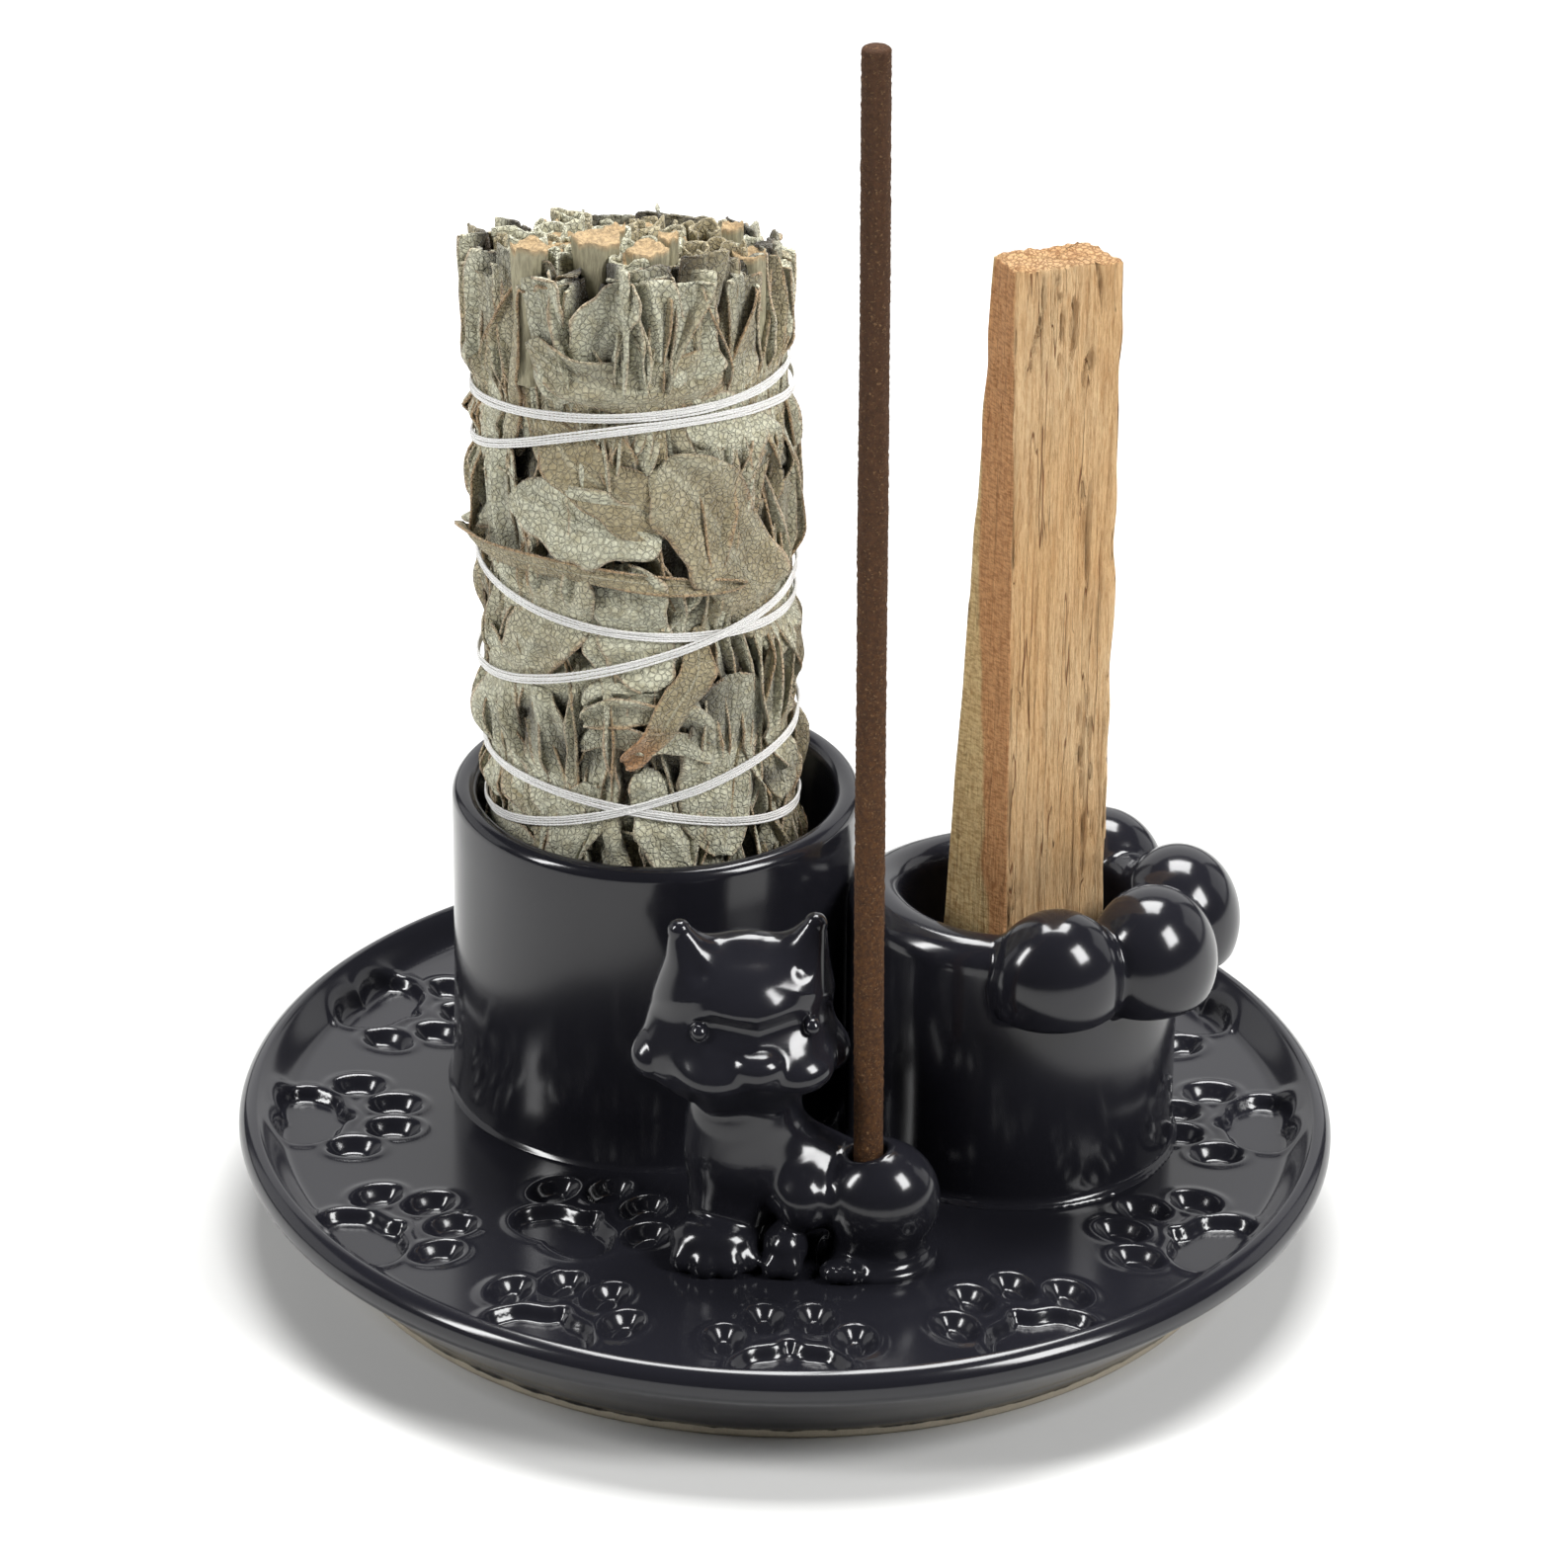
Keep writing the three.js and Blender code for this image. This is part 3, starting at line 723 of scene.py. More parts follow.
class MESH_OT_burner_dish(bpy.types.Operator):
    """Dish with impressed paw prints, on its foot ring"""

    bl_idname = "mesh.burner_dish"
    bl_label = "Dish and foot"

    def execute(self, context):
        scene = context.scene
        points, faces = dish_surface(scene.burner_dish)
        piece = one_piece("dish_glazed", glaze_finish(context), points, faces)
        settle(piece, "holder", "black_glaze", "dish")
        high = box_mm("foot_ring")[1]
        outer, inner = high[0], high[0] - FOOT_RING_WIDE
        profile = [
            (inner, 0.5), (inner + 0.6, 0.0), (outer - 1.7, 0.0), (outer - 1.0, 0.25), (outer - 0.7, 0.8),
            (outer - 0.35, 3.0), (outer, high[2] - 0.5), (outer + 0.9, high[2] + 0.6),
            (inner, high[2] + 0.6),
        ]
        settings = scene.burner_glaze
        clay = bare_clay(tuple(settings.clay), tuple(settings.black), settings.line / MM)
        ring = one_piece("foot_ring_clay", clay, *turn_profile(profile, 360, wobble=0.12, seed=9))
        settle(ring, "holder", "bare_clay", "foot_ring")
        return {"FINISHED"}


# ---------------------------------------------------------------- cups
class MESH_OT_burner_sage_cup(bpy.types.Operator):
    """Plain round cup for the sage bundle"""

    bl_idname = "mesh.burner_sage_cup"
    bl_label = "Sage cup"

    def execute(self, context):
        low, high = box_mm("sage_cup")
        x, y = centre_mm("sage_cup")[:2]
        outer = (high[0] - low[0]) / 2
        top, floor = high[2], FLOOR_Z - 0.2
        run = context.scene.burner_cups.fillet / MM
        inner, half = outer - SAGE_WALL, SAGE_WALL / 2
        tall = top - half - floor - 2 * run
        outside = [
            (outer - 0.12 * math.sin(math.pi * s), floor + 2 * run + tall * s)
            for s in np.linspace(0, 1, 9)[1:-1]
        ]
        profile = [
            (inner - run, floor), (outer + run, floor), (outer + 0.75 * run, floor + 0.3),
            (outer + 0.3 * run, floor + 0.35 * run + 0.3), (outer + 0.05 * run, floor + 1.2 * run),
            *outside,
            *bend(outer - half, top - half, half, 0, 180, 15),
            (inner, top - half - 4), (inner + 0.1, floor + 14), (inner, floor + 2 * run),
            (inner - 0.3 * run, floor + run),
        ]
        points, faces = turn_profile(profile, 300, x, y, wobble=0.14, seed=11)
        piece = one_piece("sage_cup_glazed", glaze_finish(context), points, faces)
        settle(piece, "holder", "black_glaze", "sage_cup")
        return {"FINISHED"}


# toes of the paw cup: distance from the cup's axis, direction, drop below the rim, radius
PAW_TOES = ((20.2, -75, 4.0, 8.2), (21.4, -32, 5.2, 8.8), (22.5, 6, 5.6, 8.5), (20.8, 53, 6.6, 8.0))


def paw_field(settings):
    """Signed distance to the paw cup with its toes."""
    low, high = box_mm("wood_cup")
    x, y = centre_mm("wood_cup")[:2]
    outer, top = (high[0] - low[0]) / 2, high[2]
    hole = outer - PAW_WALL
    drop, soft, run = settings.tilt / MM, settings.blend / MM, settings.fillet / MM

    def field(p):
        q = p.copy()
        fall = ease(p[..., 1] - y, -0.3 * outer, outer) * drop * ease(p[..., 2], FLOOR_Z, top)
        q[..., 2] += fall
        ripple = 0.12 * noise(p[..., 0] / 9, p[..., 1] / 9, p[..., 2] / 14, 21)
        wall_mid, half = (outer + hole) / 2, (outer - hole) / 2
        rim = np.hypot(q[..., 0] - x, q[..., 1] - y) - wall_mid
        tall = np.maximum(q[..., 2] - (top - half), 0)
        form = np.hypot(rim, tall) - half + ripple
        for out, angle, low_by, r in PAW_TOES:
            c, s = math.cos(math.radians(angle)), math.sin(math.radians(angle))
            dx, dy, up = p[..., 0] - x, p[..., 1] - y, p[..., 2] - (top - low_by - 1.6)
            local = np.stack([dx * c + dy * s - out, dy * c - dx * s, up], -1)
            pad = egg(local, (0, 0, 0), (r, 1.13 * r, 1.2 * r))
            pad = carve(pad, up + 0.55 * r, 1.0)  # the underside is pressed nearly flat
            form = merge(form, pad, soft)
        form = carve(form, drum(p, x + 0.1, y, hole, FLOOR_Z - 9, top + 20, 0.5), 1.6)
        flare = drum(p, x, y, outer + run, FLOOR_Z - 3, FLOOR_Z + 0.1, 0.05)
        form = merge(form, flare, 1.5)
        form = carve(form, drum(p, x, y, hole, FLOOR_Z - 9, top, 0.5), 1.0)
        return np.maximum(form, FLOOR_Z - 0.4 - p[..., 2])

    return field


class MESH_OT_burner_paw_cup(bpy.types.Operator):
    """Thick cup shaped as a paw, with four toes at its rim"""

    bl_idname = "mesh.burner_paw_cup"
    bl_label = "Paw cup"

    def execute(self, context):
        low, high = box_mm("wood_cup")
        step = 0.46
        field = paw_field(context.scene.burner_cups)
        points, faces = skin(field, low - (2.4, 8, 1.2), high + (9.5, 4.5, 7), step)
        nodes = ["wood_cup"] + [f"paw_toe_{n + 1}" for n in range(len(PAW_TOES))]
        piece = one_piece("paw_cup_glazed", glaze_finish(context), points, faces)
        settle(piece, "holder", "black_glaze", *nodes)
        return {"FINISHED"}


# ---------------------------------------------------------------- cat
def head_field(p, turn, eye):
    """Signed distance to the head, made looking straight ahead and turned about its own axis."""
    centre = centre_mm("cat_head") + (0, 0, 0.6)
    q = p - centre
    c, s = math.cos(turn), math.sin(turn)
    # u to the cat's left as seen from the front, v forwards, w up
    u, v, w = q[..., 0] * c + q[..., 1] * s, q[..., 0] * s - q[..., 1] * c, q[..., 2]
    e = np.stack([np.abs(u - 0.9), v, w], -1)  # the ears
    v = v + 0.34 * (w + 3.0) * ease(v, -4.0, 3.0)  # the face slopes back towards the forehead
    h = np.stack([u, v, w], -1)
    m = np.stack([np.abs(u), v, w], -1)
    f = np.stack([np.abs(u - 1.3), v, w], -1)  # the face looks a little to the side
    form = egg(h, (0, -0.6, -1.6), (12.4, 9.6, 9.2))
    form = merge(form, egg(h, (0.4, -0.2, 4.0), (10.8, 9.3, 8.2)), 4.0)
    form = merge(form, egg(h, (0.9, 5.2, 4.6), (6.0, 4.6, 4.2)), 3.0)
    form = merge(form, finger(m, (5.4, 0.8, -3.2), (12.2, 0.9, -4.1), 6.8, 2.4), 3.2)
    form = merge(form, egg(f, (5.3, 4.9, -4.0), (5.3, 5.0, 3.4)), 1.5)
    form = merge(form, egg(f, (0, 6.4, -3.4), (4.4, 4.3, 2.8)), 1.5)
    form = carve(form, finger(f, (0, 11.1, 1.0), (6.0, 9.2, 1.9), 2.2, 1.9), 1.4)
    form = carve(form, egg(f, (7.6, 8.8, 1.9), (1.7, 2.1, 1.6)), 0.8)
    form = merge(form, finger(e, (6.3, -0.6, 6.2), (9.0, -0.7, 13.3), 5.4, 1.6), 2.4)
    form = carve(form, finger(e, (7.2, 4.2, 9.4), (8.6, 2.4, 12.4), 1.2, 0.5), 1.2)
    form = merge(form, np.linalg.norm(f - (7.5, 7.5, 1.7), axis=-1) - eye, 0.35)
    form = merge(form, egg(f, (0, 9.6, -2.2), (2.6, 1.5, 1.4)), 1.6)
    form = carve(form, finger(f, (-0.1, 11.0, -7.4), (2.6, 11.0, -7.4), 0.9, 0.9), 1.6)
    return form


def body_field(p):
    """Signed distance to the chest, flank, haunch, knee and feet."""
    cat_x, cat_y = centre_mm("cat_head")[:2]
    hx, hy = centre_mm("cat_haunch")[:2]
    foot = np.array([cat_x, cat_y, FLOOR_Z])
    form = finger(p, foot + (-0.4, 0.4, 2), foot + (-0.4, 0, 19), 6.3, 6.3)
    form = merge(form, finger(p, foot + (0.4, 0.8, 15), foot + (1.6, 1.2, 24), 7.6, 7.0), 2.0)
    rump = (hx - 2.4, hy + 3.0, FLOOR_Z + 8.4)
    form = merge(form, finger(p, foot + (3.0, 0.8, 13.6), rump, 6.6, 5.6), 3.0)
    form = merge(form, egg(p, (hx + 0.4, hy, FLOOR_Z + 8.6), (8.1, 7.7, 8.3)), 0.9)
    form = merge(form, drum(p, hx + 0.2, hy, 6.6, FLOOR_Z - 2, FLOOR_Z + 6.0, 1.2), 0.9)
    form = merge(form, egg(p, foot + (8.7, -5.4, 9.4), (3.9, 3.7, 4.4)), 2.2)
    form = merge(form, drum(p, hx + 0.2, hy, 8.1, FLOOR_Z - 2, FLOOR_Z + 0.9, 0.6), 2.2)
    for x, y, z, rx, ry, rz in (
        (-3.0, -5.0, 3.0, 6.0, 4.6, 3.5), (6.5, -6.4, 3.0, 3.0, 3.8, 3.3),
        (14.2, -9.4, 1.0, 3.2, 2.2, 1.6),
    ):
        form = merge(form, egg(p, foot + (x, y, z), (rx, ry, rz)), 0.9)
    for x, y, r in (
        (-7.0, -7.6, 1.9), (-4.2, -9.0, 2.0), (-1.0, -8.9, 2.0), (1.6, -7.6, 1.7),
        (4.8, -9.4, 1.5), (7.2, -9.5, 1.6), (12.6, -10.9, 1.1), (15.2, -11.0, 1.1),
    ):
        form = merge(form, np.linalg.norm(p - foot - (x, y, 1.4), axis=-1) - r, 1.1)
    return form


def cat_field(settings):
    """Signed distance to the whole cat, with its incense socket."""
    low_socket = FLOOR_Z + 4.2
    stick = box_mm("incense_stick")
    sx, sy = stick[1][0] - STICK_R, (stick[0][1] + stick[1][1]) / 2
    top = box_mm("cat_haunch")[1][2]

    def field(p):
        body = body_field(p)
        head = head_field(p, settings.turn, settings.eye / MM)
        form = merge(body, head, 1.6)
        form = carve(form, drum(p, sx - 0.1, sy, 2.55, low_socket, top + 9, 0.2), 1.2)
        foot = p[..., 2] - FLOOR_Z + 0.35
        return np.maximum(form, -foot)

    return field


class MESH_OT_burner_cat(bpy.types.Operator):
    """Seated cat whose haunch holds the incense"""

    bl_idname = "mesh.burner_cat"
    bl_label = "Cat"

    def execute(self, context):
        nodes = sorted(n for n in frame["nodes"] if n.startswith("cat_"))
        boxes = [box_mm(n) for n in nodes]
        low = np.min([b[0] for b in boxes], 0) - (3, 4, 1.2)
        high = np.max([b[1] for b in boxes], 0) + (3, 3, 4)
        settings = context.scene.burner_cat
        points, faces = skin(cat_field(settings), low, high, settings.fine / MM)
        piece = one_piece("cat_glazed", glaze_finish(context), points, faces)
        settle(piece, "holder", "black_glaze", *nodes)
        return {"FINISHED"}


# ---------------------------------------------------------------- sage bundle
BUNDLE_LOW, BUNDLE_HIGH = box_mm("sage_bundle")
BUNDLE_X, BUNDLE_Y = centre_mm("sage_bundle")[:2]
BUNDLE_R = (BUNDLE_HIGH[0] - BUNDLE_LOW[0]) / 2
BAND_NAMES = ("upper_1", "upper_2", "middle_1", "middle_2", "lower_1", "lower_2")
# height of each thread band above the bundle's bottom at six directions, from -180 degrees in steps of 60
BAND_HEIGHTS = {
    "upper_1": (104.0, 107.6, 108.6, 109.2, 107.0, 104.2),
    "upper_2": (96.8, 103.8, 107.3, 105.0, 103.6, 99.0),
    "middle_1": (81.1, 77.8, 76.3, 74.1, 76.4, 79.6),
    "middle_2": (64.1, 69.5, 75.4, 79.0, 76.0, 69.0),
    "lower_1": (52.8, 51.8, 48.6, 43.6, 47.4, 51.0),
    "lower_2": (43.2, 48.0, 54.4, 57.4, 54.0, 47.2),
}


def band_height(name, angle):
    """Height of a band's middle at an angle: its six heights joined by a smooth closed curve."""
    heights = np.array(BAND_HEIGHTS[name])
    waves = np.fft.rfft(heights) / len(heights)
    turn = np.asarray(angle, float) + math.pi
    total = np.full(turn.shape, waves[0].real)
    for n in (1, 2):
        total = total + 2 * (waves[n].real * np.cos(n * turn) - waves[n].imag * np.sin(n * turn))
    return BUNDLE_LOW[2] + total


def tied_radius(angle, z):
    """The furthest that a leaf may stand out: the threads pull it in."""
    gap = np.min([np.abs(z - band_height(name, angle)) for name in BAND_NAMES], 0)
    belly = 0.5 * noise(2.1 * np.cos(angle), 2.1 * np.sin(angle), z / 16, 31)
    free = ease(z, BUNDLE_LOW[2] + 44, BUNDLE_LOW[2] + 56)
    return BUNDLE_R - 0.25 + (1.0 + 0.8 * free + belly) * ease(gap, 1.0, 6.0), ease(gap, 1.0, 4.0)


def leaned(points):
    """Above the cup the whole bundle leans a little to the left."""
    points = np.array(points, float)
    points[..., 0] -= 0.034 * np.maximum(points[..., 2] - 47, 0)
    return points


def round_bundle(angle, z, radius):
    """Points round the bundle's axis, leaned with it."""
    return leaned(np.stack([BUNDLE_X + radius * np.cos(angle), BUNDLE_Y + radius * np.sin(angle), z], -1))


def crown_height(x, y):
    """The cut top slopes down towards the back."""
    return BUNDLE_HIGH[2] + 1.4 - 5.0 * (y - BUNDLE_Y) / BUNDLE_R


def strip(stock, rng, angle, z, long, wide, turn, lift, **shape):
    """One dried leaf on the bundle. Angle and z place its middle; turn leans it from upright."""
    rows, columns = shape.get("rows", 34), shape.get("columns", 11)
    roll, twist, arch = shape.get("roll", 0.0), shape.get("twist", 0.0), shape.get("arch", 0.0)
    ruck, point, curl = shape.get("ruck", 0.45), shape.get("point", 0.75), shape.get("curl", 0.4)
    keel = shape.get("keel", 0.0)
    s = np.linspace(-0.5, 0.5, rows)[:, None]
    t = np.linspace(-0.5, 0.5, columns)[None, :]
    seed = int(rng.integers(1, 9999))
    outline = np.clip(1 - np.abs(2 * s) ** 2.6, 0.02, 1) ** point
    outline = outline * (1 + 0.22 * noise(s * 3.1, 0.0, 0.0, seed))
    ragged = 1 + 0.16 * noise(s * 9.0, np.sign(t) * 3.3, 0.0, seed + 5) * np.abs(2 * t)
    across = t * wide * outline * ragged
    lean = roll + twist * s + 0.35 * noise(s * 2.4, 0.0, 4.0, seed + 1)
    bent = turn + arch * s
    centre_a = -long * np.cumsum(np.sin(bent), 0) / rows
    centre_b = long * np.cumsum(np.cos(bent), 0) / rows
    centre_a, centre_b = centre_a - centre_a[rows // 2], centre_b - centre_b[rows // 2]
    sway = 0.9 * noise(s * 3.0, 7.0, 0.0, seed + 2)
    flat = across * np.cos(lean)
    a = centre_a + (flat + sway) * np.cos(bent)
    b = centre_b + (flat + sway) * np.sin(bent)
    theta = angle + a / BUNDLE_R
    ceiling = shape.get("ceiling", crown_height(0, BUNDLE_Y + BUNDLE_R * np.sin(theta)) - 1.5)
    height = np.clip(z + b, BUNDLE_LOW[2] + 0.4, ceiling + 0.5 * t)
    folds = ruck * noise(across / 2.1, s * long / 17, 0.0, seed + 3)
    folds = folds + 0.4 * ruck * noise(across / 0.9, s * long / 8, 0.0, seed + 4)
    rim = curl * np.abs(2 * t) ** 3 * noise(s * 3.4, np.sign(t), 0.0, seed + 6)
    vein = 0.16 * np.exp(-((across / 0.5) ** 2))
    radius = BUNDLE_R + lift + across * np.sin(lean) + folds + rim + vein + keel * np.abs(across)
    limit, loose = tied_radius(theta, height)
    limit = limit + (0.5 * (lift + 1.2) + 0.35 * folds + 0.4 * rim) * loose
    over = radius - limit
    radius = limit + 0.5 * (over - np.sqrt(over * over + 0.10))
    # painted shade: the deeper a leaf lies under the tied outline, the darker it is painted, as shade
    # between the leaves
    buried = 0.92 * ease(limit - radius, 0.9, 3.6)
    stock.add(
        round_bundle(theta, height, radius),
        quads(rows, columns),
        tint=float(shape.get("tint", rng.random())),
        across=t + 0 * s,
        along=s + 0 * t,
        buried=buried,
    )


def wide_leaves(stock, count):
    """Leaves pressed flat against the bundle, most of them near upright."""
    rng = np.random.default_rng(7)
    for n in range(count):
        angle = TAU * ((n * GOLDEN) % 1.0) + rng.normal(0, 0.1)
        z = BUNDLE_LOW[2] + 8 + 104 * ((n * 0.754878) % 1.0)
        turn = rng.normal(0, 0.30) if rng.random() < 0.6 else rng.normal(0, 0.95)
        strip(
            stock, rng, angle, z, rng.uniform(20, 38), rng.uniform(5.5, 11), turn,
            rng.uniform(-3.0, -0.2), arch=rng.normal(0, 0.7), ruck=rng.uniform(0.5, 1.2),
            curl=rng.uniform(0.6, 1.6), keel=rng.uniform(-0.25, 0.3), twist=rng.normal(0, 0.35),
        )


def folded_leaves(stock, count):
    """Narrow, crumpled leaves seen edge on, which give the bundle its upright ridges."""
    rng = np.random.default_rng(12)
    for n in range(count):
        angle = TAU * ((n * GOLDEN) % 1.0)
        z = BUNDLE_LOW[2] + 6 + 112 * ((n * 0.569840) % 1.0)
        roll = rng.choice((-1, 1)) * rng.uniform(0.75, 1.35)
        strip(
            stock, rng, angle, z, rng.uniform(20, 40), rng.uniform(4.0, 7.0), rng.normal(0, 0.16),
            rng.uniform(-2.4, -0.3), roll=roll, twist=rng.normal(0, 1.1), arch=rng.normal(0, 0.6),
            ruck=rng.uniform(0.3, 0.8), columns=8, rows=36,
        )


def rim_leaves(stock):
    """Upright crumpled leaves round the top, cut off at uneven heights."""
    rng = np.random.default_rng(23)
    for n in range(92):
        angle = TAU * n / 92 + rng.normal(0, 0.04)
        ceiling = crown_height(0, BUNDLE_Y + BUNDLE_R * math.sin(angle)) + rng.uniform(-4.0, 1.8)
        flat = rng.random() < 0.42
        strip(
            stock, rng, angle, ceiling - 11 + rng.normal(0, 1.5), rng.uniform(26, 36),
            rng.uniform(5.5, 9) if flat else rng.uniform(4, 6.5), rng.normal(0, 0.14),
            rng.uniform(-1.6, -0.2), roll=0.0 if flat else rng.choice((-1, 1)) * rng.uniform(0.7, 1.3),
            twist=rng.normal(0, 0.8), ruck=rng.uniform(0.4, 0.9), point=0.25, ceiling=ceiling, rows=38,
        )


# leaves that lie uppermost on the front: angle and height of the middle, length, width, turn, lift,
# arch, tint (over 1 with a scorched end)
FRONT_LEAVES = (
    (-92, 112.6, 27, 8.5, 86, 0.9, -1.5, 0.62), (-107, 93.2, 21, 10.5, 82, 1.0, 0.1, 0.02),
    (-53, 88.6, 34, 13.0, 31, 1.0, 0.35, 0.72), (-112, 86.2, 46, 2.8, 88, 1.7, 0.35, 0.98),
    (-122, 79.0, 28, 10.0, -24, 0.2, 0.3, 0.55), (-88, 78.6, 19, 10.0, 8, 0.5, 0.2, 0.20),
    (-74, 66.5, 23, 5.0, 150, 1.2, -0.9, 1.22), (-55, 56.5, 27, 12.0, -4, 0.4, 0.2, 0.22),
    (-124, 55.5, 24, 10.0, 10, 0.2, -0.2, 0.10), (-99, 98.6, 24, 9.0, 232, 0.7, 0.4, 1.10),
    (-48, 103.5, 17, 9.0, 58, 0.6, 0.1, 0.08), (-148, 92.0, 30, 7.0, 6, 0.0, -0.3, 0.24),
    (-152, 60.0, 28, 8.0, -6, 0.0, 0.3, 0.18), (-28, 60.0, 26, 7.0, 5, 0.0, -0.3, 0.52),
    (-78, 47.0, 22, 8.0, 18, 0.2, 0.2, 0.16), (-112, 44.0, 22, 8.0, -14, 0.2, 0.2, 0.30),
    (-86, 62.5, 20, 4.0, 84, 0.5, 1.5, 0.22), (-84, 65.5, 19, 4.0, 80, 0.4, 1.6, 0.44),
    (-88, 69.5, 18, 3.6, 84, 0.3, 1.7, 0.30), (-64, 120.0, 18, 7.0, -6, 0.6, 0.2, 0.02),
    (-118, 119.5, 20, 7.0, 12, 0.5, 0.3, 0.12), (-98, 121.0, 16, 6.5, -26, 0.6, -0.6, 0.04),
    (-45, 118.0, 22, 6.0, 8, 0.4, 0.3, 0.50), (-80, 124.0, 15, 6.0, 10, 0.4, 0.4, 0.10),
)


def front_leaves(stock):
    """The single leaves that lie uppermost at the front."""
    rng = np.random.default_rng(41)
    for angle, z, long, wide, turn, lift, arch, tint in FRONT_LEAVES:
        strip(
            stock, rng, math.radians(angle), BUNDLE_LOW[2] + z, long, wide, math.radians(turn), lift,
            arch=arch, ruck=0.75, curl=1.6, tint=tint, rows=56, columns=17, point=0.4,
            keel=rng.uniform(-0.30, 0.36), twist=rng.normal(0, 0.25),
        )


def crown_leaves(stock, count):
    """Ends of rolled leaves standing on the bundle's top."""
    rng = np.random.default_rng(58)
    for n in range(count):
        reach = (BUNDLE_R - 3.0) * math.sqrt((n + 0.5) / count)
        where = n * 2.399963
        cx, cy = BUNDLE_X + reach * math.cos(where), BUNDLE_Y + reach * math.sin(where)
        rows, columns = 12, 26
        up = np.linspace(0, 1, rows)[:, None]
        t = np.linspace(0, 1, columns)[None, :]
        start, sweep = rng.uniform(0, TAU), rng.uniform(2.5, 6.5)
        coil = rng.uniform(0.7, 1.4) + rng.uniform(0.8, 2.2) * t
        seed = int(rng.integers(1, 9999))
        crumple = 0.5 * noise(t * 7, up * 2.2, 0.0, seed)
        turn = start + sweep * t
        top = crown_height(cx, cy) + rng.uniform(-2.4, 1.6)
        tall = 9 + 1.2 * noise(t * 6, 0.0, 3.0, seed)
        x = cx + (coil + crumple) * np.cos(turn) * rng.uniform(0.8, 1.5)
        y = cy + (coil + crumple) * np.sin(turn)
        z = top - tall * (1 - up) + 0.7 * noise(t * 9, 1.0, 0.0, seed)
        keep = np.hypot(x - BUNDLE_X, y - BUNDLE_Y)
        shrink = np.minimum(1, (BUNDLE_R - 0.8) / np.maximum(keep, 1))
        x, y = BUNDLE_X + (x - BUNDLE_X) * shrink, BUNDLE_Y + (y - BUNDLE_Y) * shrink
        # painted shade darkens each rolled end further down from its top, as shade inside the crown
        stock.add(
            leaned(np.stack([x, y, z], -1)), quads(rows, columns), tint=float(rng.random()),
            across=0.3 + 0 * z, along=0.0, buried=0.7 * ease(top - z, 1.6, 6.5),
        )


def thicken(piece, thick):
    """Gives sheets their thickness, half to each side."""
    solid = piece.modifiers.new("thickness", "SOLIDIFY")
    solid.thickness = thick
    solid.offset = 0.0
    return piece


class MESH_OT_burner_bundle(bpy.types.Operator):
    """Bundle of dried sage leaves round a core painted dark as the shade between them"""

    bl_idname = "mesh.burner_bundle"
    bl_label = "Sage leaves"

    def execute(self, context):
        settings = context.scene.burner_bundle
        leaf = dry_leaf(tuple(settings.green), tuple(settings.tan), tuple(settings.brown))
        rings = np.linspace(BUNDLE_LOW[2] + 1.0, BUNDLE_HIGH[2] - 7.5, 150)
        angle = np.arange(220) * TAU / 220
        z, angle = np.meshgrid(rings, angle, indexing="ij")
        ridge = 0.9 * fractal(6.5 * np.cos(angle), 6.5 * np.sin(angle), z / 24, 3)
        core_r = np.minimum(tied_radius(angle, z)[0] - 3.2 + ridge, BUNDLE_R - 1.5)
        core_r = core_r * ease(z, rings[0] - 4, rings[0] + 1.5)
        points = round_bundle(angle, z, core_r)
        # the core is painted most of the way to near black, as the shade seen between the leaves
        core = one_piece(
            "sage_core", leaf, points, closed_tube(150, 220), tint=0.5, across=0.3, along=0.0, buried=0.7
        )
        settle(core, "bundle", "sage_leaf", "sage_bundle")
        thick = settings.leaf_thick
        for name, fill in (
            ("sage_leaves_wide", lambda stock: wide_leaves(stock, settings.wide_leaves)),
            ("sage_leaves_folded", lambda stock: folded_leaves(stock, settings.folded_leaves)),
            ("sage_leaves_rim", rim_leaves),
            ("sage_leaves_front", front_leaves),
            ("sage_leaves_crown", lambda stock: crown_leaves(stock, settings.crown_leaves)),
        ):
            stock = Stock()
            fill(stock)
            settle(thicken(stock.make(name, leaf), thick), "bundle", "sage_leaf")
        return {"FINISHED"}


# stems beside the front of the rim, which no CAD solid stands for: x and y from the bundle's axis,
# top above the cut leaves, radius
FRONT_STEMS = (
    (-12.0, -15.9, 2.9, 2.4), (-3.4, -14.6, 4.0, 3.2), (3.4, -16.8, 3.0, 2.6), (16.4, -9.6, 1.4, 2.1),
)


def stem_mesh(x, y, low, high, r, seed):
    """A ribbed stem with a torn, dished top."""
    rows, columns = 22, 28
    s = np.linspace(0, 1, rows)[:, None]
    a = (np.arange(columns) * TAU / columns)[None, :]
    rib = 0.16 * noise(2.4 * np.cos(a), 2.4 * np.sin(a), s * 2.5, seed) + 0.06 * np.cos(7 * a + 3 * s)
    radius = r * (0.9 + 0.12 * s**3 + rib)
    torn = 0.9 * noise(2.0 * np.cos(a), 2.0 * np.sin(a), 0.0, seed + 1) * ease(s, 0.8, 1)
    z = low + (high - low) * s + torn
    side = np.stack([x + radius * np.cos(a), y + radius * np.sin(a), z + 0 * radius], -1)
    caps = []
    for share, dip in ((0.86, 0.05), (0.55, -0.25), (0.22, -0.5)):
        edge = side[-1] - (x, y, 0)
        dished = dip + 0.22 * noise(edge[:, 0] * share * 1.6, edge[:, 1] * share * 1.6, 0.0, seed + 2)
        caps.append(np.stack([x + edge[:, 0] * share, y + edge[:, 1] * share, high + dished], -1))
    points = np.concatenate([side, np.stack(caps)])
    cut = np.concatenate([np.repeat(ease(s[:, 0], 0.97, 1.0), columns), np.ones(3 * columns)])
    return leaned(points), closed_tube(len(points), columns), cut


